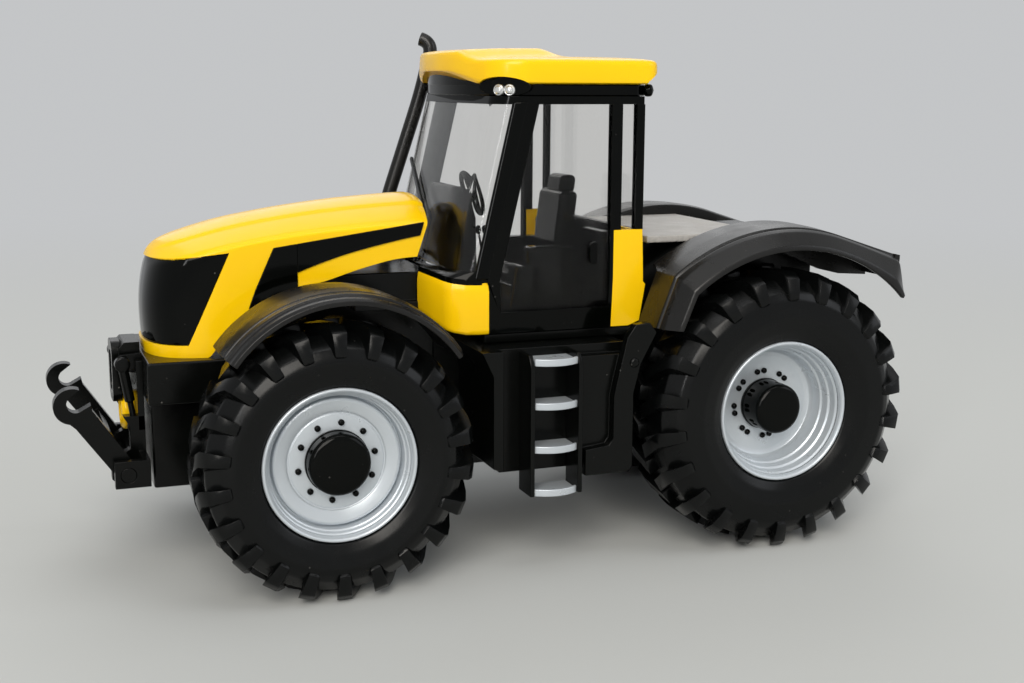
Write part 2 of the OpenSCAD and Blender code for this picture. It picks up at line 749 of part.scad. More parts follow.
module rear_mudguards() {
    r = rear_tyre_r + rear_guard_gap + rear_guard_down;
    inner = deck_w / 2;
    top = r + guard_t + 3.2;
    bend = 51;
    tail = 131;
    tip = 136;
    groove = guard_y - 4.8;
    skirt = 4;
    foot_z = cab_low + 3;
    function at(radius, a) = [radius * cos(a) - rear_guard_back,
        rear_z - rear_guard_down + radius * sin(a)];
    color(grey) both() {
        about(-rear_guard_back, rear_z - rear_guard_down) {
            swept(bend, tail)
                polygon([[top - skirt, inner], [top - 0.4, inner], [top, inner + 3],
                    [top - 0.4, groove - 0.4], [top - 1, groove], [top - guard_t - 0.6, groove],
                    [top - guard_t, inner + 1.4], [top - skirt, inner + 1.4]]);
            swept(bend, tip)
                polygon([[top - guard_t - 0.8, groove - 0.6], [top - 1.1, groove - 0.6],
                    [top - 0.8, groove + 0.5], [top - 1.4, groove + 1.8], [r + 1, guard_y - 0.4],
                    [r, guard_y], [r, guard_y - 1.2], [top - guard_t - 1.4, groove + 1.2]]);
        }
        side([at(r + 0.6, bend + 3), at(r + 0.6, bend), [cab_rear - 2.5, foot_z], [cab_rear + 0.5, foot_z],
            at(top - 0.7, bend), at(top - 0.7, bend + 3)], cw + 1, guard_y - 0.6);
    }
}

module rear_deck() { color(silver) box(-24, cab_rear - 3, -deck_w / 2, deck_w / 2, deck_low, deck_z); }

// Side tanks: a rib in front, the ladder's bay, a fill behind it, and the plate that closes them off
// from the rear wheel

tank_front = front_x - front_tyre_r - 5;
tank_back = cab_rear + 6;
recess_y = tank_y - 2.6;
rib_t = 2.2;
rib_back = tank_front - rib_t;
bay_clear = 4.3;
ladder_x = rib_back - bay_clear - ladder_w;
fill_front = ladder_x - 1;

module tank_body() {
    fill = fill_front - tank_back;
    box(tank_back, rib_back, spine, recess_y, tank_low + 1, cab_low);
    side([[rib_back, cab_low], [tank_front + 2.4, cab_low], [tank_front, cab_low - 5],
        [tank_front, tank_low + 2.6],
        [rib_back, tank_low + 2]], spine, tank_y + 0.4);
    side([[fill_front - 0.4, tank_low], [fill_front - 0.4, tank_low + 5.4],
        [tank_back + fill * 0.49, tank_low + 6],
        [tank_back + fill * 0.4, tank_low + 7.4], [tank_back + fill * 0.4, tank_low + 16],
        [tank_back + fill * 0.336, tank_low + 19.4], [cab_rear + 7.6, cab_low + 1.6],
        [cab_rear + 5.8, cab_low + 4.2],
        [cab_rear + 2.6, cab_low + 4.4], [cab_rear + 1, cab_low + 2.4], [cab_rear + 4.5, cab_low - 4],
        [tank_back, cab_low - 10], [tank_back, tank_low + 1], [tank_back + 1.4, tank_low]], tank_y,
        tank_y + 2.2);
}

module left_tank() {
    color(black) {
        tank_body();
        box(tank_back, fill_front, recess_y, tank_y, tank_low + 1, cab_low - 2);
    }
}

module right_tank() {
    color(black) right() {
        tank_body();
        box(tank_back, rib_back - 0.8, recess_y, tank_y, tank_low + 1, cab_low - 2);
        box(rib_back, cab_front + pipe_r + 0.6, spine, pipe_y + pipe_r + 0.4, cab_low - 3, cab_low);
    }
}

module ladder_frame() {
    rail = 1;
    color(black) for (x = [ladder_x, ladder_x + ladder_w - rail])
        translate([x, 0, 0]) rotate([90, 0, 90]) linear_extrude(height = rail)
            polygon([[recess_y, step_low], [ladder_y - 0.8, step_low], [ladder_y - 0.8, cab_low - 3],
                [ladder_y - 2.4, cab_low - 0.6], [recess_y, cab_low - 0.6]]);
}

module ladder_steps() {
    rail = 1;
    pitch = (cab_low - step_low - 2.4) / (step_count - 1) - 0.1;
    x0 = ladder_x + rail;
    x1 = ladder_x + ladder_w - rail;
    xm = (x0 + x1) / 2;
    color(silver) for (i = [0:step_count - 1])
        translate([0, 0, step_low + i * pitch]) linear_extrude(height = 1.4)
            polygon([[x1, recess_y], [x1, ladder_y - 1], [xm + 2.4, ladder_y - 0.2], [xm, ladder_y],
                [xm - 2.4, ladder_y - 0.2], [x0, ladder_y - 1], [x0, recess_y]]);
}

// Rear hitch

rear_arm_in = 9;

module drawbar_hitch() {
    back = spine_back - 8;
    top = drawbar_z + drawbar_t;
    color(black) difference() {
        union() {
            box(back, spine_back, -7, 7, spine_low, engine_low);
            box(drawbar_x, spine_back, -3, 3, drawbar_z, top);
            box(back, spine_back, -3, 3, drawbar_z, engine_low);
            translate([drawbar_x, 0, drawbar_z]) cylinder(r = 3, h = drawbar_t);
        }
        translate([drawbar_x, 0, drawbar_z - 1]) cylinder(r = drawbar_hole_r, h = drawbar_t + 2);
        rod_y(rear_pivot_x, rear_pivot_z, link_pin_r + 0.02, -8, 8);
    }
}

module rear_link_pin() {
    end = rear_arm_in + link_t + 1.2;
    color(silver) rod_y(rear_pivot_x, rear_pivot_z, link_pin_r, -end, end);
}

module at_rear_pivot() {
    translate([rear_pivot_x, 0, rear_pivot_z]) rotate([0, 0, 180]) rotate(
        [0, -rear_link_rise, 0]) children();
}

module rear_lower_links() { color(black) at_rear_pivot() both() link_arm(rear_link_len, rear_arm_in); }

module rear_link_bar() { color(black) at_rear_pivot() box(7.6, 10.2, -rear_arm_in, rear_arm_in, -1.3,
    1.3); }

place() chassis();
place() engine_block();
place() rear_body();
place() front_frame();
place() front_axle();
place() rear_axle();
place() bonnet();
place() grille_panel();
place() bonnet_side_panels();
place() front_hitch_frame();
place() front_pto_guard();
place() front_link_pin();
place() front_lower_links();
place() cab_tub();
place() cab_shell();
place() cab_frame();
place() windscreen();
place() door_windows();
place() quarter_windows();
place() rear_window();
place() roof();
place() roof_base();
place() roof_lamps();
place() seat();
place() steering();
place() dashboard();
place() exhaust_stack();
place() wiper();
place() front_mudguards();
place() rear_mudguards();
place() rear_deck();
place() left_tank();
place() right_tank();
place() ladder_frame();
place() ladder_steps();
place() drawbar_hitch();
place() rear_link_pin();
place() rear_lower_links();
place() rear_link_bar();
place() front_left_tyre();
place() front_left_rim();
place() front_left_cap();
place() front_right_tyre();
place() front_right_rim();
place() front_right_cap();
place() rear_left_tyre();
place() rear_left_rim();
place() rear_left_cap();
place() rear_right_tyre();
place() rear_right_rim();
place() rear_right_cap();
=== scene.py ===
# %% [markdown]
# # A scale-model farm tractor, dressed in Blender
# The CAD frame holds every solid of the model in its own place. This lesson gives each of them the
# rounded edges, the finer shapes and the finishes that die-cast paint and moulded plastic really have.
# All sizes below are millimetres, measured from the rear axle and from the ground.

# %% Load the frame and keep its box
import json
import math

import bmesh
import bpy
from mathutils import Matrix, Vector


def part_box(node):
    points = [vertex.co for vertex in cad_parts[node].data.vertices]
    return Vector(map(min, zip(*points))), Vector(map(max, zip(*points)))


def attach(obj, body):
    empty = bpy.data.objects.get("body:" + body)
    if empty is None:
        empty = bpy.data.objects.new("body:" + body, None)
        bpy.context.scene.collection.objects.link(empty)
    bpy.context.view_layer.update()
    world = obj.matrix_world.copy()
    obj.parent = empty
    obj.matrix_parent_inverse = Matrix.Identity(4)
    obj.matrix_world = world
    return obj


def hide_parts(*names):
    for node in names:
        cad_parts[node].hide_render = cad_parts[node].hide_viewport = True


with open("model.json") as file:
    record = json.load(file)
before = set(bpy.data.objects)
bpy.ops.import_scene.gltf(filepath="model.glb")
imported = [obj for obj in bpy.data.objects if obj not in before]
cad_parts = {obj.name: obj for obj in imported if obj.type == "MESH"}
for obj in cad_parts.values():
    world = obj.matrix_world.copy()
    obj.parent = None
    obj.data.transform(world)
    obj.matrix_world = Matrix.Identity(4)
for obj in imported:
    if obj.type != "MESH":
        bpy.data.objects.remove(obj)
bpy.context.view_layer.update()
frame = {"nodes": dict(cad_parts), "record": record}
scene = bpy.context.scene
MM = 0.001
rim_low, rim_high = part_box("rear_left_rim")
AXLE_X = (rim_low.x + rim_high.x) / 2


def at(x, y, z):
    """A point in millimetres from the rear axle, as metres in the shared frame."""
    return Vector((AXLE_X + x * MM, y * MM, z * MM))


print("nodes", len(frame["nodes"]), "rear axle at", round(AXLE_X, 5))

# %% [markdown]
# ## Camera
# The camera repeats the photograph's view: its height, its turn and its lens were solved from the
# rims and the ground. Its three axes are built from the angles, so no constraint is needed.

# %% Camera at the photograph's angle
VIEW_YAW, VIEW_PITCH, VIEW_ROLL = 0.362768, 0.184250, 0.005069
VIEW_PLACE = at(156.27, 287.56, 98.6)
FOCAL_PIXELS, PHOTO_PIXELS, SENSOR_MM, NEAREST = 1396.4, 1024, 36, 0.01

level = math.cos(VIEW_PITCH)
look = Vector((-math.sin(VIEW_YAW) * level, -math.cos(VIEW_YAW) * level, -math.sin(VIEW_PITCH)))
across = look.cross(Vector((0, 0, 1))).normalized()
upward = across.cross(look)
right = across * math.cos(VIEW_ROLL) + upward * math.sin(VIEW_ROLL)
up = upward * math.cos(VIEW_ROLL) - across * math.sin(VIEW_ROLL)
camera = bpy.data.objects.new("camera", bpy.data.cameras.new("camera"))
camera.data.lens = FOCAL_PIXELS / PHOTO_PIXELS * SENSOR_MM
camera.data.clip_start = NEAREST
camera.matrix_world = Matrix.Translation(VIEW_PLACE) @ Matrix((right, up, -look)).transposed().to_4x4()
scene.collection.objects.link(camera)
scene.camera = camera
print("lens", round(camera.data.lens, 2), "mm")

# %% [markdown]
# ## Finishes
# A model like this has few materials: enamel on the die-cast bonnet, ABS moulded in yellow and black,
# a softer grey plastic for the mudguards, PVC for the tyres and clear styrene for the windows.
# Every one is a Principled shader whose colour, roughness and bump come from patterns on Object
# coordinates, so they stay in place on each piece. Real dust and grain are finer than a pixel of the
# picture, so the patterns below are drawn two or three times as coarse.

# %% Colours, one function for nodes and the start of a finish
def linear(code):
    """An sRGB hex colour as linear red, green, blue and alpha."""
    parts = [int(code[i:i + 2], 16) / 255 for i in (1, 3, 5)]
    return [p / 12.92 if p <= 0.04045 else ((p + 0.055) / 1.055) ** 2.4 for p in parts] + [1.0]


def add(tree, kind, inputs=None, **settings):
    """Add a node: settings are its own options, inputs are values or sockets to link."""
    node = tree.nodes.new(kind)
    for key, value in settings.items():
        setattr(node, key, value)
    for key, value in (inputs or {}).items():
        if isinstance(value, bpy.types.NodeSocket):
            tree.links.new(value, node.inputs[key])
        else:
            node.inputs[key].default_value = value
    return node


def per_metre(size_mm):
    """The scale of a pattern whose features are this many millimetres apart."""
    return 1 / (size_mm * MM)


FINISH = {}


def start_finish(slot, name, plain):
    """A new material with plain values on its shader. Gives its tree, the shader's sockets and coordinates."""
    material = bpy.data.materials.new(name)
    material.use_nodes = True
    tree = material.node_tree
    shader = tree.nodes["Principled BSDF"].inputs
    for socket, value in plain.items():
        shader[socket].default_value = value
    FINISH[slot] = material
    return tree, shader, add(tree, "ShaderNodeTexCoord").outputs["Object"]


print("a pattern of 1 mm has a scale of", round(per_metre(1.0)))

# %% [markdown]
# ### Moulded and painted surfaces
# Injection moulding leaves a faint grain from the tool, colour that drifts slightly across the part,
# and static draws pale dust to it. One recipe with different numbers serves enamel, gloss ABS, satin
# ABS, PVC and the pale deck. The dark plastics have a lower IOR than their own 1.5, because the pale
# room that mirrors in them would otherwise turn them grey.

# %% Moulded plastic and enamel
DRIFT_MM, SPECK_MM, PATCH_MM, WEAR_MM, DUST = 14, 2.6, 9, 5, "#A8A6A0"


def moulded(slot, name, colour, drift, rough, grain_mm, grain_depth, dust=0.0, coat=0.0, ior=1.5, metallic=0.0):
    """A moulded or painted surface with grain, drifting colour and a little dust."""
    tree, shader, place = start_finish(slot, name, {
        "IOR": ior, "Metallic": metallic, "Coat Weight": coat, "Coat Roughness": 0.05})
    broad = add(tree, "ShaderNodeTexNoise", {"Vector": place, "Scale": per_metre(DRIFT_MM), "Detail": 3.0})
    tone = add(tree, "ShaderNodeMix", {0: broad.outputs["Fac"], 6: linear(colour), 7: linear(drift)},
               data_type="RGBA")
    specks = add(tree, "ShaderNodeTexVoronoi", {
        "Vector": place, "Scale": per_metre(SPECK_MM), "Randomness": 1.0})
    dots = add(tree, "ShaderNodeMapRange", {
        "Value": specks.outputs["Distance"], "From Min": 0.04, "From Max": 0.08, "To Min": dust, "To Max": 0.0})
    patches = add(tree, "ShaderNodeTexNoise", {"Vector": place, "Scale": per_metre(PATCH_MM), "Detail": 2.0})
    where = add(tree, "ShaderNodeMapRange", {"Value": patches.outputs["Fac"], "From Min": 0.52, "From Max": 0.64})
    dusty = add(tree, "ShaderNodeMath", {0: dots.outputs["Result"], 1: where.outputs["Result"]},
                operation="MULTIPLY")
    shown = add(tree, "ShaderNodeMix", {0: dusty.outputs[0], 6: tone.outputs[2], 7: linear(DUST)},
                data_type="RGBA")
    tree.links.new(shown.outputs[2], shader["Base Color"])
    wear = add(tree, "ShaderNodeTexNoise", {"Vector": place, "Scale": per_metre(WEAR_MM), "Detail": 4.0})
    gloss = add(tree, "ShaderNodeMapRange", {
        "Value": wear.outputs["Fac"], "From Min": 0.3, "From Max": 0.7, "To Min": rough * 0.8, "To Max": rough * 1.25})
    tree.links.new(gloss.outputs["Result"], shader["Roughness"])
    grain = add(tree, "ShaderNodeTexNoise", {"Vector": place, "Scale": per_metre(grain_mm), "Detail": 2.0})
    bump = add(tree, "ShaderNodeBump", {
        "Height": grain.outputs["Fac"], "Distance": grain_depth * MM, "Strength": 1.0})
    tree.links.new(bump.outputs["Normal"], shader["Normal"])


# Enamel over die-cast zinc: a soft gloss with a trace of orange peel.
moulded("yellow_paint", "yellow_enamel_on_zinc", "#FFD00A", "#FFCA06", 0.22, 1.4, 0.003, coat=0.12, ior=1.32)
# The same yellow dyed into ABS: as glossy, a shade warmer where the wall is thin.
moulded("yellow_plastic", "yellow_abs", "#FFD00A", "#FFC805", 0.22, 1.2, 0.003, coat=0.1, ior=1.32)
# Gloss black ABS from a polished tool: it mirrors the lamps, and it shows every speck.
moulded("gloss_black", "gloss_black_abs", "#020302", "#040504", 0.09, 1.1, 0.002, dust=0.3, ior=1.22)
# Satin black ABS from a plain tool.
moulded("black_plastic", "satin_black_abs", "#040504", "#070807", 0.22, 0.8, 0.005, dust=0.25, ior=1.27)
# Grey polypropylene with a fine spark-eroded grain.
moulded("grey_plastic", "grained_grey_polypropylene", "#10100F", "#171615", 0.28, 0.55, 0.010, dust=0.15, ior=1.38)
# The pale deck is moulded with a coarse anti-slip grain.
moulded("deck_grey", "pale_grained_deck", "#B4B1AC", "#9E9B97", 0.5, 0.9, 0.3)
# ABS with silver flake, for the rims and steps: a satin that reads almost as aluminium.
moulded("silver_plastic", "silvered_abs", "#C0C7CD", "#C8CED3", 0.32, 0.9, 0.004, metallic=0.4)
# PVC tyres: dark, a little oily, softly shining on the shoulders.
moulded("tyre_rubber", "soft_pvc_tyre", "#040505", "#080909", 0.24, 0.7, 0.006, dust=0.12, ior=1.3)
print("moulded finishes", sorted(FINISH))

# %% [markdown]
# ### Steel, clear styrene and lamp lenses
# The axle pins are turned steel: turning leaves fine rings, so their roughness follows a wave along
# the pin. The windows are clear styrene, so light passes through. Their IOR is set well below
# styrene's, because thin flat panes bend the view less than solid glass would. The lamps are chromed
# cups under a clear dome, so they are a metal under a coat.

# %% Steel, window and lamp finishes
tree, shader, place = start_finish("steel_pin", "turned_steel_pin", {
    "Base Color": linear("#A9AAAC"), "Metallic": 1.0})
rings = add(tree, "ShaderNodeTexWave", {"Vector": place, "Scale": per_metre(2.4), "Distortion": 1.5},
            bands_direction="Y")
gloss = add(tree, "ShaderNodeMapRange", {"Value": rings.outputs["Fac"], "To Min": 0.2, "To Max": 0.36})
tree.links.new(gloss.outputs["Result"], shader["Roughness"])

tree, shader, place = start_finish("clear_plastic", "clear_styrene", {
    "Base Color": linear("#FBFAF8"), "Transmission Weight": 1.0, "IOR": 1.22})
flow = add(tree, "ShaderNodeTexNoise", {"Vector": place, "Scale": per_metre(16), "Detail": 1.0})
bump = add(tree, "ShaderNodeBump", {"Height": flow.outputs["Fac"], "Distance": 0.01 * MM, "Strength": 1.0})
tree.links.new(bump.outputs["Normal"], shader["Normal"])
smear = add(tree, "ShaderNodeMapRange", {
    "Value": flow.outputs["Fac"], "From Min": 0.35, "From Max": 0.75, "To Min": 0.0, "To Max": 0.05})
tree.links.new(smear.outputs["Result"], shader["Roughness"])

tree, shader, place = start_finish("lamp_clear", "chromed_lamp", {
    "Base Color": linear("#D9DADA"), "Metallic": 0.7, "Roughness": 0.2, "Coat Weight": 1.0})
flutes = add(tree, "ShaderNodeTexWave", {"Vector": place, "Scale": per_metre(1.6)}, bands_direction="Z")
bump = add(tree, "ShaderNodeBump", {"Height": flutes.outputs["Fac"], "Distance": 0.02 * MM, "Strength": 1.0})
tree.links.new(bump.outputs["Normal"], shader["Normal"])
print("finishes", len(FINISH))

# %% [markdown]
# ## Tools for shapes
# Three helpers carry most of the work. `make` turns a bmesh into a piece: it can give a sheet a wall,
# round the sharp edges with a Bevel and even out the shading with Weighted Normals, and it settles all
# of that into a plain mesh. `soften` copies a CAD node, joins its loose triangles into whole faces and
# gives it to `make`. `rounded` puts small arcs on the corners of an outline, which is cleaner than a
# bevel where a section is turned or swept.

# %% Make a piece, and soften a CAD node
CREASE = 38  # an edge that turns by more degrees than this is sharp


def settle(piece):
    """Turn the piece's modifiers into a plain mesh."""
    bpy.context.view_layer.update()
    graph = bpy.context.evaluated_depsgraph_get()
    mesh = bpy.data.meshes.new_from_object(
        piece.evaluated_get(graph), preserve_all_data_layers=True, depsgraph=graph)
    piece.modifiers.clear()
    piece.data = mesh


def make(name, shape, slot, body="tractor", stands_for=(), edge=0.0, steps=2, crease=CREASE, wall=0.0):
    """A finished piece from a bmesh: edge is the width of its rounded edges in millimetres."""
    mesh = bpy.data.meshes.new(name)
    shape.to_mesh(mesh)
    shape.free()
    piece = bpy.data.objects.new(name, mesh)
    scene.collection.objects.link(piece)
    mesh.materials.append(FINISH[slot])
    mesh.shade_smooth()
    if wall:
        shell = piece.modifiers.new("wall", "SOLIDIFY")
        shell.thickness, shell.offset, shell.use_even_offset = wall * MM, -1, True
    if edge:
        bevel = piece.modifiers.new("edge", "BEVEL")
        bevel.width, bevel.segments, bevel.limit_method = edge * MM, steps, "ANGLE"
        bevel.angle_limit = math.radians(crease)
        piece.modifiers.new("even", "WEIGHTED_NORMAL").weight = 60
    else:
        mesh.set_sharp_from_angle(angle=math.radians(crease))
    settle(piece)
    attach(piece, body)
    if stands_for:
        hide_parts(*stands_for)
    print(name, len(piece.data.polygons), "faces on", body)
    return piece


def whole(node):
    """A CAD node's triangles as joined, whole faces."""
    shape = bmesh.new()
    shape.from_mesh(frame["nodes"][node].data)
    bmesh.ops.remove_doubles(shape, verts=shape.verts, dist=1e-6)
    bmesh.ops.dissolve_limit(shape, angle_limit=math.radians(0.8), verts=shape.verts, edges=shape.edges)
    return shape


BODY_OF = {node: body for body, nodes in frame["record"]["behaviour"]["bodies"].items() for node in nodes}


def soften(node, slot, edge, steps=2):
    """A CAD node with its sharp edges rounded."""
    make(node + "_moulding", whole(node), slot, BODY_OF[node], (node,), edge, steps)


# %% Outlines with rounded corners, and skins over rings of points
def bend(start, corner, end, t):
    """The point at a share t of a soft bend from start to end, round a corner."""
    return start * (1 - t) ** 2 + corner * 2 * t * (1 - t) + end * t * t


def rounded(outline, radius, steps=4, closed=True):
    """The outline with an arc of about this radius on every corner."""
    result = []
    count = len(outline)
    for i in range(count):
        here = Vector(outline[i])
        before, after = Vector(outline[i - 1]), Vector(outline[(i + 1) % count])
        if not closed and i in (0, count - 1):
            result.append(tuple(here))
            continue
        back, ahead = before - here, after - here
        reach = min(radius, back.length * 0.45, ahead.length * 0.45)
        start, end = here + back.normalized() * reach, here + ahead.normalized() * reach
        result += [tuple(bend(start, here, end, k / steps)) for k in range(steps + 1)]
    return result


def skin(rings, loop=True, ends=True):
    """Join rings of points with faces. loop closes each ring, ends caps the first and the last."""
    shape = bmesh.new()
    rows = [[shape.verts.new(p) for p in ring] for ring in rings]
    count = len(rings[0])
    for a, b in zip(rows, rows[1:]):
        for i in range(count if loop else count - 1):
            k = (i + 1) % count
            shape.faces.new((a[i], a[k], b[k], b[i]))
    if ends:
        shape.faces.new(rows[0])
        shape.faces.new(rows[-1])
    bmesh.ops.remove_doubles(shape, verts=shape.verts, dist=1e-7)
    bmesh.ops.recalc_face_normals(shape, faces=shape.faces)
    return shape


print("a square with round corners has", len(rounded([(0, 0), (1, 0), (1, 1), (0, 1)], 0.2)), "points")

# %% Turned, flat and joined shapes, and cuts
def round_angles(count):
    """Equal steps round a circle, up to the last before the full turn."""
    return [2 * math.pi * i / count for i in range(count)]


def turned(section, axle, hand=1, segments=144):
    """Turn a closed section of radius and distance from the centre line about an axle at X, Z."""
    x, z = axle
    return skin([[at(x + r * math.cos(a), hand * y, z + r * math.sin(a)) for r, y in section]
                 for a in round_angles(segments) + [2 * math.pi]], ends=False)


def drum(centre, axis, section, segments=32):
    """A section of radius and height turned about an axis through a point."""
    up_axis = Vector(axis).normalized()
    side_axis = up_axis.orthogonal().normalized()
    third = up_axis.cross(side_axis)
    rings = []
    for a in round_angles(segments) + [2 * math.pi]:
        out = side_axis * math.cos(a) + third * math.sin(a)
        rings.append([centre + out * r * MM + up_axis * h * MM for r, h in section])
    return skin(rings, ends=False)


def plate(outline, y0, y1):
    """A side outline in X and Z, from y0 to y1."""
    return skin([[at(x, y, z) for x, z in outline] for y in (y0, y1)])


def side_plate(outline, hand, inner, outer):
    """A side outline in X and Z between two distances from the centre line, on one hand."""
    return plate(outline, *sorted((hand * inner, hand * outer)))


def joined(*shapes):
    """Several bmeshes as one."""
    result = shapes[0]
    for other in shapes[1:]:
        mesh = bpy.data.meshes.new("part")
        other.to_mesh(mesh)
        other.free()
        result.from_mesh(mesh)
        bpy.data.meshes.remove(mesh)
    return result


def cut_flat(shape, point, normal, **drop):
    """Cut a whole bmesh along a plane, and drop what lies on one side if asked."""
    everything = shape.verts[:] + shape.edges[:] + shape.faces[:]
    bmesh.ops.bisect_plane(shape, geom=everything, plane_co=point, plane_no=normal, **drop)


def close_holes(shape):
    """Cap every open edge of a bmesh."""
    bmesh.ops.holes_fill(shape, edges=[e for e in shape.edges if e.is_boundary], sides=200)


print("tools ready")

# %% [markdown]
# ## Tyres
# Each tyre is a PVC ring whose lugs run from the middle of the tread over the shoulder and on to the
# side wall, left and right by turns. The ring is a turned section with soft corners. Modelling 44
# lugs by hand would be hopeless, so one lug is modelled and a Geometry Nodes tree sets copies of it
# round the axle; the other hand is the same tree with the mirrored lug.

# %% A node tree that sets copies round an axle
ring_tree = bpy.data.node_groups.new("copies_round_an_axle", "GeometryNodeTree")
SOCKET = {}
for label, kind in (("Geometry", "NodeSocketGeometry"), ("Copy", "NodeSocketObject"),
                    ("Count", "NodeSocketInt"), ("Start", "NodeSocketFloat"),
                    ("Axle", "NodeSocketVector"), ("Finish", "NodeSocketMaterial")):
    SOCKET[label] = ring_tree.interface.new_socket(label, in_out="INPUT", socket_type=kind).identifier
ring_tree.interface.new_socket("Geometry", in_out="OUTPUT", socket_type="NodeSocketGeometry")
source = add(ring_tree, "NodeGroupInput").outputs
points = add(ring_tree, "GeometryNodePoints", {"Count": source["Count"], "Position": source["Axle"]})
index = add(ring_tree, "GeometryNodeInputIndex")
share = add(ring_tree, "ShaderNodeMath", {0: index.outputs[0], 1: source["Count"]}, operation="DIVIDE")
turn = add(ring_tree, "ShaderNodeMath", {0: share.outputs[0], 1: 2 * math.pi, 2: source["Start"]},
           operation="MULTIPLY_ADD")
spin = add(ring_tree, "ShaderNodeCombineXYZ", {"Y": turn.outputs[0]})
model = add(ring_tree, "GeometryNodeObjectInfo", {"Object": source["Copy"]})
copies = add(ring_tree, "GeometryNodeInstanceOnPoints", {
    "Points": points.outputs[0], "Instance": model.outputs["Geometry"], "Rotation": spin.outputs[0]})
gathered = add(ring_tree, "GeometryNodeJoinGeometry")
ring_tree.links.new(source["Geometry"], gathered.inputs[0])
ring_tree.links.new(copies.outputs[0], gathered.inputs[0])
real = add(ring_tree, "GeometryNodeRealizeInstances", {"Geometry": gathered.outputs[0]})
painted = add(ring_tree, "GeometryNodeSetMaterial", {
    "Geometry": real.outputs[0], "Material": source["Finish"]})
add(ring_tree, "NodeGroupOutput", {0: painted.outputs[0]})


def set_round(piece, copy_shape, count, start, axle, slot):
    """Give a piece copies of a shape round an axle, through the node tree."""
    mesh = bpy.data.meshes.new("copy")
    copy_shape.to_mesh(mesh)
    copy_shape.free()
    mesh.shade_smooth()
    mesh.set_sharp_from_angle(angle=math.radians(CREASE))
    model_object = bpy.data.objects.new("copy", mesh)
    nodes = piece.modifiers.new("copies", "NODES")
    nodes.node_group = ring_tree
    for label, value in (("Copy", model_object), ("Count", count), ("Start", start), ("Axle", axle),
                         ("Finish", FINISH[slot])):
        nodes[SOCKET[label]] = value
    settle(piece)
    bpy.data.objects.remove(model_object)


print("ring tree has", len(ring_tree.nodes), "nodes")

# %% Sizes of the four wheels, and one lug
FACE_Y, FLANGE_Y, RIM_R, WHEELBASE = 40.2, 38.0, 15.0, 96.0
LUG_H, LUG_T, LUG_SLANT, LUGS, TONGUE_DROP = 2.0, 2.7, math.radians(28), 22, 4.4
WHEELS = {}
for end, axle_x, r, w, disc in (("front", WHEELBASE, 27.2, 17.0, 34.8), ("rear", 0.0, 30.1, 20.5, 29.8)):
    for side, hand in (("left", 1), ("right", -1)):
        WHEELS[f"{end}_{side}"] = {
            "end": end, "hand": hand, "r": r, "w": w, "disc": disc, "axle": (axle_x, r)}


def round_off(shape, edges, width, segments):
    """Round some edges of a bmesh by a width in millimetres."""
    bmesh.ops.bevel(shape, geom=edges, offset=width * MM, offset_type="OFFSET", segments=segments,
                    profile=0.5, affect="EDGES", clamp_overlap=True)


def lug_shape(r, w, hand):
    """One lug at the axle's level: a slanted bar on the tread, ending in a rounded tongue on the side wall."""
    core, half = r - LUG_H, w / 2
    tongue = core - TONGUE_DROP
    outline = [(core - 1.4, 0.3), (r - 0.1, 0.3), (r - 0.1, half - 4.6), (r - 0.5, half - 2.2),
               (r - 1.7, half - 0.75), (core - 2.0, half - 0.1), (tongue + 0.6, half + 0.1),
               (tongue, half - 0.4), (tongue, half - 2.6), (core - 3, half - 4)]
    rows = []
    for end in (-1, 1):
        row = []
        for x, y in outline:
            wide = end * (LUG_T / 2 - 0.035 * (r - x) + 0.12 * max(0.0, core - x) * (y < half - 2))
            turn = (min(y, half - 1.8) * math.tan(LUG_SLANT) + wide / math.cos(LUG_SLANT) * 0.94) / core
            row.append(Vector((x * math.cos(turn), hand * y, x * math.sin(turn))) * MM)
        rows.append(row)
    shape = skin(rows)
    reach = [math.hypot(v.co.x, v.co.z) / MM for v in shape.verts]
    round_off(shape, [e for e in shape.edges if all(abs(reach[v.index] - tongue) < 0.01 for v in e.verts)
                      and abs(e.verts[0].co.y - e.verts[1].co.y) > MM], 0.95, 3)
    round_off(shape, [e for e in shape.edges if len(e.link_faces) == 2
                      and e.calc_face_angle() > math.radians(32)], 0.34, 1)
    bmesh.ops.recalc_face_normals(shape, faces=shape.faces)
    return shape


print("wheels", list(WHEELS))

# %% Turn the carcasses and set the lugs
for name, wheel in WHEELS.items():
    r, half, hand = wheel["r"], wheel["w"] / 2, wheel["hand"]
    core, middle = r - LUG_H, FACE_Y - half
    side_wall = [(RIM_R - 1, half - 2.2), (RIM_R, half - 2.2), (RIM_R + 0.4, half - 1.6),
                 (RIM_R + 2.2, half - 0.75), (RIM_R + 5.0, half - 0.1), (core - 4.2, half - 0.3),
                 (core - 2.6, half - 1.1), (core, half - 3.9)]
    section = [(x, middle - y) for x, y in side_wall] + [(x, middle + y) for x, y in reversed(side_wall)]
    tyre = make(name + "_carcass", turned(rounded(section, 0.5), wheel["axle"], hand), "tyre_rubber",
                name + "_wheel", (name + "_tyre",))
    axle = at(wheel["axle"][0], hand * middle, wheel["axle"][1])
    for side, start in ((1, 0.0), (-1, math.pi / LUGS)):
        set_round(tyre, lug_shape(r, wheel["w"], side), LUGS, start, axle, "tyre_rubber")
    print("with its lugs", len(tyre.data.polygons), "faces")

# %% [markdown]
# ## Rims, caps and bolts
# The rims are light grey mouldings: a rounded lip, a stepped wall and a disc. The front disc is
# shallow and slightly coned with a fine ring; the rear one lies deep in the wheel. A black cap hides
# the end of each axle pin, and black bolts stand round it, ten in front and eight pairs behind. Rims
# and caps are turned sections, and the bolts are copies set by the same node tree as the lugs.

# %% Rims
BORE_R, SOCKET_R, WALL_R, SEAT_IN, DISC_T = 1.8, 4.6, 12.8, 0.8, 1.6
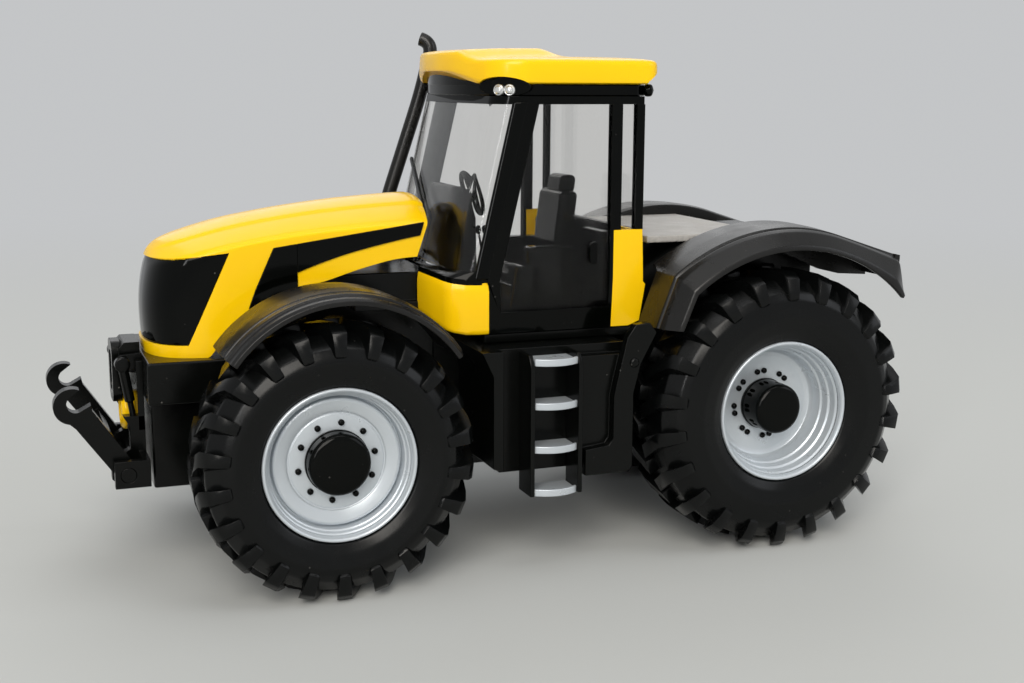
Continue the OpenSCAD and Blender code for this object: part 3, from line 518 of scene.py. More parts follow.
# Each dish from the bore outwards: the radius, and the height above the disc
DISH = {"front": [(BORE_R, 0.0), (9.2, 0.0), (9.3, -0.15), (9.6, -0.15), (9.75, 0.1), (11.9, 0.75), (12.45, 0.55),
                  (12.6, -0.9), (13.0, -0.9), (13.1, 1.35), (13.5, 1.55), (13.6, 2.3), (14.0, 2.5)],
        "rear": [(BORE_R, 0.0), (10.4, 0.1), (11.4, 0.4), (11.9, 1.2), (12.25, 3.4), (12.7, 3.7), (12.95, 5.3),
                 (13.4, 5.6), (13.6, 7.1), (14.0, 7.5)]}
LIP = [(14.1, FLANGE_Y + 0.25), (14.4, FLANGE_Y + 0.75), (14.75, FLANGE_Y + 0.85), (RIM_R, FLANGE_Y + 0.6),
       (RIM_R, FLANGE_Y)]
for name, wheel in WHEELS.items():
    disc, back = wheel["disc"], FACE_Y - wheel["w"] + 1.4
    dish = [(r, disc + height) for r, height in DISH[wheel["end"]]]
    barrel = [(RIM_R - 1, FLANGE_Y), (RIM_R - 1, back + SEAT_IN), (RIM_R - 0.4, back + SEAT_IN), (RIM_R - 0.4, back),
              (WALL_R, back), (WALL_R, disc - DISC_T), (SOCKET_R, disc - DISC_T), (SOCKET_R, back), (BORE_R, back)]
    make(name + "_rim_moulding", turned(rounded(dish + LIP + barrel, 0.16, 2), wheel["axle"], wheel["hand"]),
         "silver_plastic", name + "_wheel", (name + "_rim",), crease=50)

# %% Caps and bolts
BOLT = rounded([(0.0, -0.2), (0.62, -0.2), (0.62, 0.45), (0.4, 0.75), (0.0, 0.8)], 0.12, 2, closed=False)
CAP_SIZE = {"front": (6.3, 3.8), "rear": (5.6, 7.2)}
# How many bolts each ring has, where it starts in radians, and its radius
BOLT_RINGS = {"front": [(10, 0.18, 7.6)], "rear": [(8, 0.245, 7.2), (8, 0.015, 7.2)]}
for name, wheel in WHEELS.items():
    disc, hand = wheel["disc"], wheel["hand"]
    radius, height = CAP_SIZE[wheel["end"]]
    outline = [(0.0, height), (radius * 0.5, height - 0.02), (radius * 0.84, height - 0.12),
               (radius * 0.96, height - 0.75), (radius * 0.97, 1.0), (radius, 0.8), (radius, 0.0), (0.0, 0.0)]
    section = [(r, disc + y) for r, y in rounded(outline, 0.45, 4, closed=False)]
    cap = make(name + "_cap_moulding", turned(section, wheel["axle"], hand, 96), "gloss_black",
               name + "_wheel", (name + "_cap",))
    axle = at(wheel["axle"][0], 0, wheel["axle"][1])
    for count, start, ring_r in BOLT_RINGS[wheel["end"]]:
        bolt = drum(Vector((ring_r * MM, hand * disc * MM, 0)), (0, hand, 0), BOLT, 16)
        set_round(cap, bolt, count, start, axle, "gloss_black")
    print("with its bolts", len(cap.data.polygons), "faces")

# %% [markdown]
# ## Bonnet
# The bonnet is one die-cast skin: flat sides, a crowned top with a raised middle band, an edge rolled
# down before the windscreen, and a nose that rounds off in plan. A loft of sections gives exactly that,
# and it is the same rule as in the CAD part. It is built as an open skin so that the rear edge and the
# opening for the grille can be cut with flat planes, and the wall and the rounded rim are added
# afterwards.

# %% The bonnet's sections
CAB_FRONT, NOSE_X, BONNET_LOW, NOSE_H, BONNET_RISE = 68.6, 128.2, 44.9, 21.6, 9.0
HALF_W, TAPER, NOSE_ROLL, REAR_ROLL, BAND_H = 15.0, 0.7, 1.7, 1.6, 0.35
LOWER_EDGE = [(60.0, 63.3), (66.0, 63.3), (74.0, 63.2), (78.0, 62.9), (82.0, 62.1), (87.0, 60.8), (93.0, 59.0),
              (100.0, 57.4), (106.0, 54.9), (111.0, 51.2), (114.5, 47.2), (116.6, 44.9), (124.0, 44.9),
              (140.0, 44.9)]
# Shares of the half width, from the shoulder crease over the side slope and up on to the raised middle band
ACROSS = [1.0, 0.995, 0.98, 0.955, 0.92, 0.87, 0.81, 0.75, 0.69, 0.64, 0.6, 0.57, 0.545, 0.52, 0.495, 0.46, 0.4,
          0.32, 0.24, 0.16, 0.08]
# Shares of the length, closest together where the rear edge and the nose roll down
STATIONS = [1.0]
for start, end, count in ((0.96, 1.0, 24), (0.72, 0.96, 40), (0.09, 0.72, 52), (0.0, 0.09, 30)):
    STATIONS = [start + (end - start) * k / count for k in range(count)] + STATIONS


def smooth(t):
    """From 0 to 1 as t does, with soft ends."""
    t = min(1.0, max(0.0, t))
    return t * t * (3 - 2 * t)


def along(table, x):
    """A smooth curve through a table of x and value, read at x."""
    i = max(k for k in range(1, len(table) - 2) if table[k][0] <= max(x, table[1][0]))
    (xa, va), (xb, vb), (xc, vc), (xd, vd) = table[i - 1:i + 3]
    t = (x - xb) / (xc - xb)
    rise_b, rise_c = (vc - va) / (xc - xa) * (xc - xb), (vd - vb) / (xd - xb) * (xc - xb)
    if vb == vc:
        rise_b = rise_c = 0.0
    return vb + t * (rise_b + t * (3 * (vc - vb) - 2 * rise_b - rise_c + t * (rise_b + rise_c - 2 * (vc - vb))))


def nose(s):
    """0 up to where the bonnet starts to narrow, and 1 at its front."""
    return max(0.0, (s - TAPER) / (1 - TAPER))


def quarter_round(t):
    """How far a quarter circle has fallen at a share t of its width."""
    return 1 - math.sqrt(max(0.0, 1 - max(0.0, t) ** 2))


def crown(s):
    """The height of the bonnet's middle at a share s of its length, rolled down at both ends."""
    rolled = NOSE_ROLL * quarter_round((s - 0.955) / 0.045) + REAR_ROLL * quarter_round((0.085 - s) / 0.052)
    return BONNET_LOW + NOSE_H + BONNET_RISE * (1 - 0.22 * s - 0.753 * s ** 2.36) - rolled


def bonnet_section(s, inset=0.0):
    """The points across the bonnet at a share s of its length, from the left lower edge to the right."""
    x = CAB_FRONT - 1 + (NOSE_X - CAB_FRONT + 1) * s
    w = max(1.0, HALF_W * max(0.0, 1 - nose(s) ** 3.4) ** (1 / 2.6)) - inset
    top, shoulder = crown(s) - inset - BAND_H, crown(s) - 5.3 + 1.4 * s
    low, band = along(LOWER_EDGE, x), BAND_H * min(1.0, (1 - s) * 12)
    half = [(w, low + (shoulder - 0.5 - low) * k / 16) for k in range(17)]
    for u in ACROSS:
        soft = 0.5 * max(0.0, (u - 0.955) / 0.045) ** 2
        ridge = band * smooth((0.575 - u) / 0.08)
        half.append((w * u, shoulder + (top - shoulder) * (1 - u ** 1.9) - soft + ridge))
    result = []
    for y, z in half + [(0.0, top + band)] + [(-y, z) for y, z in reversed(half)]:
        lean = 1.9 * max(0.0, (z - 53) / 11.5) ** 2 + 0.5 * max(0.0, (53 - z) / 8) ** 2
        result.append(at(x - lean * nose(s) ** 1.5 - inset * nose(s), y, z))
    return result


print(len(STATIONS), "sections of", len(bonnet_section(0.5)), "points")

# %% Cut the bonnet's skin at the windscreen and round the grille
GRILLE = [(NOSE_X - 8, BONNET_LOW + 2.4), (NOSE_X - 16.4, BONNET_LOW + NOSE_H - 1.1),
          (NOSE_X + 1, BONNET_LOW + NOSE_H - 2.8), (NOSE_X + 1, BONNET_LOW + 2.4)]
SCREEN_CUT = (74.1, 61.9), (68.0, 79.9)


def cut_along(shape, a, b, **drop):
    """Cut a skin along the line from a to b in the side view."""
    cut_flat(shape, at(a[0], 0, a[1]), Vector((a[1] - b[1], 0, b[0] - a[0])).normalized(), **drop)


def in_grille(point):
    """Whether a point lies in the grille's outline, seen from the side."""
    x, z = (point.x - AXLE_X) / MM, point.z / MM
    return all((z - z0) * (x1 - x0) - (x - x0) * (z1 - z0) <= 0
               for (x0, z0), (x1, z1) in zip(GRILLE, GRILLE[1:] + GRILLE[:1]))


def bonnet_skin(inset, grille_side):
    """The bonnet's skin cut at the windscreen, with only what lies in the grille, or all but that."""
    sections = [bonnet_section(s, inset) for s in STATIONS]
    sections.append([Vector((p.x, 0.0, p.z)) for p in sections[-1]])  # closes the nose on the centre line
    shape = skin(sections, loop=False, ends=False)
    cut_along(shape, *SCREEN_CUT, clear_outer=True)
    for a, b in ((GRILLE[0], GRILLE[1]), (GRILLE[1], GRILLE[2]), (GRILLE[3], GRILLE[0])):
        cut_along(shape, a, b)
    wrong = [f for f in shape.faces if in_grille(f.calc_center_median()) != grille_side]
    bmesh.ops.delete(shape, geom=wrong, context="FACES")
    return shape


make("bonnet_skin", bonnet_skin(0.0, False), "yellow_paint", stands_for=("bonnet",),
     wall=1.4, edge=0.3, steps=3, crease=55)
make("grille_skin", bonnet_skin(0.4, True), "gloss_black", stands_for=("grille_panel",),
     wall=1.2, edge=0.2, crease=55)

# %% [markdown]
# ### Side stripes
# A black stripe runs forward along each side of the bonnet and widens to the front, in two plates that
# meet at a seam. They are flat, so each is a plate drawn from its outline; only the lower edge of the
# rear plate is curved, and it follows a smooth curve through a few points.

# %% Side stripes
SEAM_X, STRIPE_BACK, STRIPE_FRONT, STRIPE_STEPS = 98.5, (72.2, 70.3), (103.2, 66.1), 14
STRIPE_LOW = [(60.0, 69.5), (73.0, 67.6), (80.0, 66.3), (87.5, 64.6), (93.0, 63.0), (98.6, 61.0), (104.0, 58.9)]
low_start = STRIPE_LOW[1][0]
low_x = [low_start + (SEAM_X - low_start) * k / STRIPE_STEPS for k in range(STRIPE_STEPS + 1)]
fall = (STRIPE_FRONT[1] - STRIPE_BACK[1]) / (STRIPE_FRONT[0] - STRIPE_BACK[0])
seam_top = (SEAM_X, STRIPE_BACK[1] + fall * (SEAM_X - STRIPE_BACK[0]))
rear_stripe = [STRIPE_BACK] + [(x, along(STRIPE_LOW, x)) for x in low_x] + [seam_top]
front_stripe = [seam_top, (SEAM_X, 57.9), (104.0, 55.6), (108.4, 54.2), (107.0, 57.9), STRIPE_FRONT]
stripes = [side_plate(outline, hand, HALF_W - 0.6, HALF_W + 0.4)
           for hand in (1, -1) for outline in (rear_stripe, front_stripe)]
make("side_stripes", joined(*stripes), "gloss_black", stands_for=("bonnet_side_panels",), edge=0.14)

# %% [markdown]
# ## Roof
# The roof is a single bulging moulding with a bowed front edge. Its plan outline is lofted upwards and
# drawn in towards the top. A low panel stands up along the middle of the top, and the front turns up
# below like a visor: both are made by lifting points, after the top has been cut into a fine grid that
# can follow the step. The two arches over the lamps and the notch under the tail are cut with a
# Boolean, as a toolmaker would cut the core.

# %% The roof's outline, and its arches
ROOF_FRONT, ROOF_BACK, ROOF_HALF, ROOF_LOW, ROOF_H = 66.0, 24.6, 26.5, 98.1, 7.4
ROOF_R, TAIL_R, ROOF_BOW, BOW_TURN, ARCH_TURN = 9.0, 3.0, 4.4, math.radians(23), math.radians(50)


def roof_corner(inset):
    """The middle and the radius of the roof's rounded front corner, drawn in by an inset."""
    r = ROOF_R - inset / 2
    return ROOF_FRONT - inset - ROOF_BOW - r * math.cos(BOW_TURN), ROOF_HALF - inset - r, r


def roof_plan(inset, z):
    """The roof's outline drawn in by an inset, as a ring of points at a height."""
    front, back, side = ROOF_FRONT - inset, ROOF_BACK + inset, ROOF_HALF - inset
    cx, cy, r = roof_corner(inset)
    tx, ty = back + TAIL_R, side - TAIL_R
    y_end = cy + r * math.sin(BOW_TURN)
    half = [(front - ROOF_BOW * k * k, y_end * k) for k in (0.12, 0.28, 0.44, 0.6, 0.76, 0.9)]
    for i in range(17):
        a = BOW_TURN + (math.pi / 2 - BOW_TURN) * i / 16
        half.append((cx + r * math.cos(a), cy + r * math.sin(a)))
    half += [(tx + (cx - tx) * (1 - k / 10), side) for k in range(1, 10)]
    for i in range(7):
        a = math.pi / 2 * i / 6
        half.append((tx - TAIL_R * math.sin(a), ty + TAIL_R * math.cos(a)))
    half += [(back, ty * k) for k in (0.75, 0.5, 0.25)]
    return [at(x, -y, z) for x, y in reversed(half)] + [at(x, y, z) for x, y in half]


def arch(hand, start, end, wide, tall):
    """A flat oval drum across a front corner of the roof, over its lamps."""
    out = Vector((math.cos(ARCH_TURN), hand * math.sin(ARCH_TURN), 0))
    over = Vector((-math.sin(ARCH_TURN), hand * math.cos(ARCH_TURN), 0))
    x, y, _ = roof_corner(0.0)
    centre = at(x, hand * y, ROOF_LOW - 0.6)
    ring = [over * wide * math.cos(a) + Vector((0, 0, tall)) * math.sin(a) for a in round_angles(48)]
    return skin([[centre + (p + out * depth) * MM for p in ring] for depth in (start, end)])


print("the roof's outline has", len(roof_plan(0.0, ROOF_LOW)), "points")

# %% Loft the roof, lift its panel and visor, and carve it
# How far the outline is drawn in, at each share of the height
RISE = [(0.6, 0.0), (0.15, 0.04), (0.0, 0.12), (0.0, 0.3), (0.02, 0.5), (0.12, 0.58), (0.35, 0.625), (0.8, 0.655),
        (1.5, 0.675), (2.6, 0.695), (4.2, 0.715), (6.0, 0.73), (8.5, 0.745), (12.0, 0.755), (16.0, 0.76)]
PANEL_BACK, PANEL_HALF, PANEL_H, PANEL_EDGE = 40.5, 18.0, 1.65, 6
VISOR_BACK, VISOR_EDGE, VISOR_LIFT = 61.5, 4, 2.4
GRID_X, GRID_Y, TOP_SHARE = range(30, 65), range(-21, 22), 0.66


def with_panel_and_visor(shape):
    """The roof with a low panel raised along the middle of its top, and its front edge turned up below."""
    top_z = (ROOF_LOW + TOP_SHARE * ROOF_H) * MM
    grid = [(at(x, 0, 0), (1, 0, 0)) for x in GRID_X] + [(at(0, y, 0), (0, 1, 0)) for y in GRID_Y]
    for point, normal in grid:
        top = [f for f in shape.faces if min(v.co.z for v in f.verts) > top_z]
        around = {e for f in top for e in f.edges} | {v for f in top for v in f.verts}
        bmesh.ops.bisect_plane(shape, geom=top + list(around), plane_co=point, plane_no=normal)
    for vertex in shape.verts:
        x, y = (vertex.co.x - AXLE_X) / MM, abs(vertex.co.y) / MM
        rise = (vertex.co.z / MM - ROOF_LOW) / ROOF_H
        inside = smooth((x - PANEL_BACK) / PANEL_EDGE) * smooth((PANEL_HALF - y) / PANEL_EDGE)
        panel = PANEL_H * inside * smooth((rise - 0.35) / 0.3)
        visor = VISOR_LIFT * smooth((x - VISOR_BACK) / VISOR_EDGE) * max(0.0, 1 - rise / 0.5)
        vertex.co.z += (panel + visor) * MM
    return shape


def carve(shape, cutter):
    """The first bmesh with the second cut out of it."""
    objects = []
    for part in (shape, cutter):
        mesh = bpy.data.meshes.new("carving")
        part.to_mesh(mesh)
        part.free()
        objects.append(bpy.data.objects.new("carving", mesh))
        scene.collection.objects.link(objects[-1])
    tool = objects[0].modifiers.new("cut", "BOOLEAN")
    tool.object, tool.operation, tool.solver = objects[1], "DIFFERENCE", "EXACT"
    settle(objects[0])
    result = bmesh.new()
    result.from_mesh(objects[0].data)
    for thing in objects:
        bpy.data.objects.remove(thing)
    return result


roof_shape = with_panel_and_visor(skin([roof_plan(inset, ROOF_LOW + ROOF_H * rise) for inset, rise in RISE]))
tail_notch = plate([(ROOF_BACK - 2, ROOF_LOW - 1), (ROOF_BACK + 3.6, ROOF_LOW - 1),
                    (ROOF_BACK + 2.8, ROOF_LOW + 0.6), (ROOF_BACK - 2, ROOF_LOW + 4.1)], -30, 30)
roof_cut = joined(tail_notch, *[arch(hand, 4.0, 14.0, 5.6, 2.0) for hand in (1, -1)])
make("roof_moulding", carve(roof_shape, roof_cut), "yellow_plastic", stands_for=("roof",), edge=0.2, crease=40)
soften("roof_base", "gloss_black", 0.3)

# %% [markdown]
# ### Roof lamps
# Each front corner carries two small round lamps under an arch, and each rear corner one: a chromed
# bowl with a domed lens, turned from one section. Black housings fill the arches and the room under the
# visor, and a small round one stands at each rear corner.

# %% Lamps and their housings
LAMP = rounded([(0.0, -0.1), (1.15, -0.1), (1.15, 0.6), (1.0, 0.75), (0.9, 0.7), (0.6, 1.0), (0.0, 1.12)],
               0.12, 3, closed=False)
REAR_POD = rounded([(0.0, -0.6), (1.3, -0.6), (1.3, 1.0), (0.0, 1.4)], 0.6, 4, closed=False)
BASE_IN, LAMP_Z, LAMP_TURNS = 1.6, ROOF_LOW - 1.2, (43, 58)
base_x, base_y, base_r = roof_corner(BASE_IN)
lamps, housings = [], []
for hand in (1, -1):
    for degrees in LAMP_TURNS:
        out = Vector((math.cos(math.radians(degrees)), hand * math.sin(math.radians(degrees)), 0))
        lamps.append(drum(at(base_x, hand * base_y, LAMP_Z) + out * base_r * MM, out, LAMP))
    lamps.append(drum(at(ROOF_BACK + BASE_IN, hand * (ROOF_HALF - 7), LAMP_Z), (-1, 0, 0), LAMP))
    pod_place = at(ROOF_BACK + BASE_IN, hand * (ROOF_HALF - 3.6), LAMP_Z)
    housings += [arch(hand, 3.2, 6.5, 5.55, 1.95), drum(pod_place, (-1, hand * 0.5, 0), REAR_POD)]
visor_base = skin([roof_plan(BASE_IN, z) for z in (ROOF_LOW - 0.4, ROOF_LOW + VISOR_LIFT)])
cut_flat(visor_base, at(50.0, 0, 0), (1, 0, 0), clear_inner=True)
close_holes(visor_base)
make("roof_lamp_lenses", joined(*lamps), "lamp_clear", stands_for=("roof_lamps",))
make("roof_lamp_housings", joined(*housings, visor_base), "gloss_black", edge=0.15)

# %% [markdown]
# ## Cab
# The cab's panels, pillars and windows are flat mouldings, so the CAD solids are right as they are and
# only need the small radius that every moulded edge has, and a slight lean inwards below the waist. The
# clear windows keep crisp edges. A small black latch stands on each door.

# %% Cab panels, frame and windows
WAIST_Z, FLOOR_Z, SIDE_LEAN, INNER_HALF = 58.7, 48.1, 0.075, 20
LATCH = rounded([(38.2, 61.4), (39.9, 61.8), (39.9, 66.0), (38.2, 66.4)], 0.9, 6)


def leant_in(node):
    """A CAD node of the cab, with its outer sides leant in below the waist."""
    shape = whole(node)
    cut_flat(shape, at(0, 0, WAIST_Z), (0, 0, 1))
    for vertex in shape.verts:
        drop = WAIST_Z - vertex.co.z / MM
        if drop > 0 and abs(vertex.co.y) > INNER_HALF * MM:
            vertex.co.y -= math.copysign(SIDE_LEAN * drop * MM, vertex.co.y)
    return shape


make("cab_corner_panels", leant_in("cab_shell"), "yellow_plastic", stands_for=("cab_shell",),
     edge=0.35, steps=3, crease=34)
make("cab_pillars_and_sills", leant_in("cab_frame"), "gloss_black", stands_for=("cab_frame",),
     edge=0.35, steps=3, crease=34)
make("door_glass", leant_in("door_windows"), "clear_plastic", stands_for=("door_windows",), crease=30)
for node in ("windscreen", "quarter_windows", "rear_window"):
    soften(node, "clear_plastic", 0.0)
make("cab_floor_and_boxes", leant_in("cab_tub"), "black_plastic", stands_for=("cab_tub",), edge=0.4)
soften("dashboard", "black_plastic", 0.6, 3)
soften("wiper", "black_plastic", 0.12)
make("door_latches", joined(*[side_plate(LATCH, hand, 25.2, 26.0) for hand in (1, -1)]), "gloss_black",
     edge=0.2, steps=3)

# %% [markdown]
# ### Cab front corners
# Below the windscreen the cab swells out to two faceted yellow corners, and a black cowl closes the
# step between them and the glass. Each corner is a sheet drawn from points of its plan with a low and
# a high edge, turned in a little at both edges, and given a wall. Two black strips cover the joint of
# the windscreen and the door pillars.

# %% Cab front corners
CORNER_PLAN = [(61.9, 26.0, 48.1, 58.7), (64.4, 26.0, 48.1, 58.7), (66.8, 25.9, 48.2, 58.8), (69.2, 25.0, 48.6, 59.1),
               (70.2, 24.1, 48.9, 59.3), (70.9, 22.9, 49.3, 59.5), (71.9, 20.2, 50.2, 59.9),
               (72.7, 17.5, 51.0, 60.2), (73.3, 13.4, 51.8, 60.4)]
SCREEN_FOOT = [(61.9, 25.5), (63.6, 25.5), (65.2, 25.1), (66.6, 24.2), (67.2, 23.6), (67.8, 22.6), (68.5, 20.2),
               (68.8, 17.5), (69.0, 13.4)]
CAB_MIDDLE, COWL_Z, COWL_IN = Vector((56.0, 0.0)), 61.0, 0.5


def corner_point(x, y, z, inset, hand):
    """A point of the plan drawn in towards the middle of the cab, at a height on one hand."""
    inward = (CAB_MIDDLE - Vector((x, y))).normalized()
    return at(x + inward.x * inset, hand * (y + inward.y * inset), z)


corners, cowls = [], []
for hand in (1, -1):
    sheet, cowl = [], []
    for (x, y, low, high), (foot_x, foot_y) in zip(CORNER_PLAN, SCREEN_FOOT):
        levels = ((low, 0.5), (low + 0.5, 0.1), (low + 1.2, 0.0), ((low + high) / 2, 0.0), (high - 2.0, 0.0),
                  (high - 0.7, 0.35), (high, 0.75))
        sheet.append([corner_point(x, y, z, inset, hand) for z, inset in levels])
        cowl.append([corner_point(x, y, z, COWL_IN, hand) for z in (high - 0.5, high + 0.7)]
                    + [at(foot, hand * foot_y, COWL_Z) for foot in (foot_x, foot_x - 1.0)])
    for shapes, rows in ((corners, sheet), (cowls, cowl)):
        shapes.append(skin(rows, loop=False, ends=False))
        if hand < 0:
            bmesh.ops.reverse_faces(shapes[-1], faces=shapes[-1].faces)
make("cab_front_corners", joined(*corners), "yellow_plastic", wall=1.0, edge=0.2, crease=30)
make("windscreen_cowl", joined(*cowls), "gloss_black", wall=0.8, edge=0.15, crease=40)

# %% Strips over the windscreen's joints
STRIP = [(-0.3, 26.05), (0.9, 26.0), (1.9, 25.75), (2.7, 25.25), (2.6, 24.5), (1.0, 24.7), (-0.3, 25.0)]
STRIP_ENDS = ((62.3, 59.4), (54.0, 94.6))
strips = [skin([[at(x + ahead, hand * y, z) for ahead, y in STRIP] for x, z in STRIP_ENDS]) for hand in (1, -1)]
make("screen_pillar_strips", joined(*strips), "gloss_black", edge=0.3, steps=3, crease=25)

# %% [markdown]
# ### Seat, consoles and steering wheel
# The seat is one dark, hard moulding of a cushion, a tall back and a headrest with soft, rounded edges.
# A stepped console stands at each side of it, and three levers on the right one. All are blocks with
# a leant top, rounded by a wide bevel. The steering wheel is a thin ring on a bar, so the ring is
# a turned circle instead of a bored disc.

# %% Seat, consoles and levers
SEAT_X, SEAT_Z = 37.0, 55.5


def pad(x0, x1, y0, y1, z0, z1, lean=0.0):
    """A block with its top leant back by a distance."""
    return skin([[at(x0 + dx, y0, z), at(x1 + dx, y0, z), at(x1 + dx, y1, z), at(x0 + dx, y1, z)]
                 for z, dx in ((z0, 0.0), (z1, -lean))])


cushion = pad(SEAT_X, SEAT_X + 12, -7, 7, SEAT_Z, SEAT_Z + 4)
seat_back = pad(SEAT_X - 0.8, SEAT_X + 3.4, -6.8, 6.8, SEAT_Z + 3.2, SEAT_Z + 19.6, 2.0)
headrest = pad(SEAT_X - 2.9, SEAT_X + 0.8, -4.4, 4.4, SEAT_Z + 18.8, SEAT_Z + 23, 0.5)
make("seat_moulding", joined(cushion, seat_back, headrest), "gloss_black", stands_for=("seat",), edge=1.3, steps=4)

# Each block of a console: its ends from the seat's back, its outer side, its top above the seat, and its lean
CONSOLE = [(0.5, 11, 12.4, 8.4, 0.0), (9, 14.5, 12.4, 4.5, 1.5), (-6.6, -2.6, 19, 12, 0.0)]
CONSOLE_IN = 8.6
consoles = []
for hand in (1, -1):
    for back, front, outer, top, lean in CONSOLE:
        y0, y1 = sorted((hand * CONSOLE_IN, hand * outer))
        consoles.append(pad(SEAT_X + back, SEAT_X + front, y0, y1, FLOOR_Z, SEAT_Z + top, lean))
make("seat_consoles", joined(*consoles), "gloss_black", edge=0.6, steps=3)
LEVER = rounded([(0, 0), (0.3, 0), (0.3, 5.2), (0.75, 5.6), (0.75, 6.9), (0, 7.3)], 0.2, 2, closed=False)
levers = [drum(at(x, y, SEAT_Z + 4), (0.25, 0, 1), LEVER, 12) for x, y in ((46.5, -9.6), (48.4, -10.6), (50.0, -11.4))]
make("console_levers", joined(*levers), "black_plastic")

# %% Steering wheel
DASH_X, RING_R, RING_T, RING_H, SPOKE = CAB_FRONT - 6, 4.7, 0.5, 3.5, 4.6
foot, head = Vector((DASH_X - 4, FLOOR_Z + 22)), Vector((DASH_X - 1.5, FLOOR_Z + 28.6))
slope = (head - foot).normalized()
column, along_ring = Vector((-slope.y, 0, slope.x)), Vector((slope.x, 0, slope.y))
middle = (foot + head) / 2
hub = at(middle.x, 0, middle.y)
ring_section = [(RING_R + RING_T * math.cos(a), RING_H + RING_T * math.sin(a)) for a in round_angles(12)]
boss = rounded([(0, 0), (1.2, 0), (1.2, 3.6), (0, 3.9)], 0.3, 3, closed=False)
spoke = skin([[hub + along_ring * u * MM + Vector((0, 1, 0)) * v * MM + column * h * MM
               for v, h in ((-0.7, 3.2), (0.7, 3.2), (0.7, 3.8), (-0.7, 3.8))] for u in (-SPOKE, SPOKE)])
make("steering_wheel_ring", joined(drum(hub, column, ring_section, 48), drum(hub, column, boss, 24), spoke),
     "black_plastic", stands_for=("steering",))

# %% [markdown]
# ## Mudguards
# A mudguard is a pressed section carried along an arc, so it is swept: the section is drawn once, with
# its grooves and lip, and set at many angles. The front ones curve round a point above the axle, so
# their ends come close to the tyre, and a bracket holds each of them to the engine.

# %% Front mudguards
GUARD_Y, FRONT_R, FRONT_IN, FRONT_C, FRONT_START, FRONT_SWEEP = 40.0, 26.3, 22.6, (94.4, 32.0), 36.5, 109.5
BRACKET = [(83, 53.9), (89, 53.9), (89, 56.9), (83, 56.9)]
front_top = FRONT_R + 1.6
front_section = rounded([
    (FRONT_R, FRONT_IN), (front_top, FRONT_IN), (front_top + 0.2, (FRONT_IN + GUARD_Y) / 2),
    (front_top, GUARD_Y - 5.2), (front_top - 0.45, GUARD_Y - 5.0), (front_top - 0.5, GUARD_Y - 4.6),
    (front_top - 0.05, GUARD_Y - 4.3), (front_top - 0.15, GUARD_Y - 2.6), (front_top - 0.6, GUARD_Y - 2.3),
    (front_top - 0.75, GUARD_Y - 0.8), (front_top - 1.2, GUARD_Y), (FRONT_R - 0.5, GUARD_Y),
    (FRONT_R - 0.5, GUARD_Y - 1.2), (FRONT_R, GUARD_Y - 1.8)], 0.14, 2)


def arc_section(section, centre, degrees, hand):
    """A section of radius and width placed at an angle above level round a centre."""
    a = math.radians(degrees)
    return [at(centre[0] + r * math.cos(a), hand * y, centre[1] + r * math.sin(a)) for r, y in section]


guards = []
for hand in (1, -1):
    guards.append(skin([arc_section(front_section, FRONT_C, FRONT_START + FRONT_SWEEP * k / 72, hand)
                        for k in range(73)]))
    guards.append(side_plate(BRACKET, hand, 13.1, 23.4))
make("front_mudguard_pair", joined(*guards), "grey_plastic", stands_for=("front_mudguards",), edge=0.2, crease=40)

# %% [markdown]
# ### Rear mudguards
# The rear ones are longer: the arc runs into a straight leg down to the cab in front, and goes on
# straight to a tail behind, closed by an end wall. The outer lip is a section of its own that reaches
# a little further back than the top, and a skirt hangs down inside.

# %% Rear mudguards
REAR_C, REAR_R, REAR_TOP, REAR_IN = (-1.2, 27.6), 36.8, 41.6, 22.0
# Degrees above level: the bend to the leg, the start of the straight tail, its end and the lip's tip
BEND, STRAIGHT, TAIL, TIP = 51.0, 108.0, 129.5, 136.0
GROOVE, LEG_X, LEG_Z, LEG_IN = GUARD_Y - 4.8, 25.5, 49.0, 27.0
TOP_SECTION = rounded([
    (REAR_TOP - 4.0, REAR_IN), (REAR_TOP - 0.4, REAR_IN), (REAR_TOP, REAR_IN + 1.6), (REAR_TOP - 0.1, 29.5),
    (REAR_TOP - 0.4, GROOVE - 0.5), (REAR_TOP - 1.05, GROOVE), (REAR_TOP - 2.2, GROOVE),
    (REAR_TOP - 1.7, REAR_IN + 1.6), (REAR_TOP - 4.0, REAR_IN + 1.4)], 0.25, 3)
LIP_SECTION = rounded([
    (REAR_TOP - 2.4, GROOVE - 0.6), (REAR_TOP - 1.1, GROOVE - 0.6), (REAR_TOP - 0.7, GROOVE + 0.4),
    (REAR_TOP - 1.2, GROOVE + 1.8), (REAR_R + 1.1, GUARD_Y - 0.3), (REAR_R, GUARD_Y), (REAR_R, GUARD_Y - 1.2),
    (REAR_TOP - 3.0, GROOVE + 1.2)], 0.3, 3)
SKIRT = [(-29.4, 61.6), (-21.7, 64.0), (-14.0, 66.1), (-7.0, 67.6), (0.0, 68.2), (6.0, 67.4), (10.0, 66.2),
         (10.0, 64.8), (4.0, 64.2), (-4.0, 63.2), (-11.0, 60.6), (-17.0, 57.9), (-22.0, 56.7), (-29.2, 56.2)]
TAIL_WALL = [(-29.5, 61.9), (-28.3, 62.2), (-28.0, 57.0), (-29.2, 56.8)]


def leg_point(r, y, share, hand):
    """A point of the rear guard's section on its straight leg."""
    a = math.radians(BEND)
    bend_x, bend_z = REAR_C[0] + r * math.cos(a), REAR_C[1] + r * math.sin(a)
    foot_x = LEG_X + 3.0 * (r - REAR_R - 0.6) / 3.5
    return at(bend_x + (foot_x - bend_x) * share, hand * max(y, LEG_IN), bend_z + (LEG_Z - bend_z) * share)


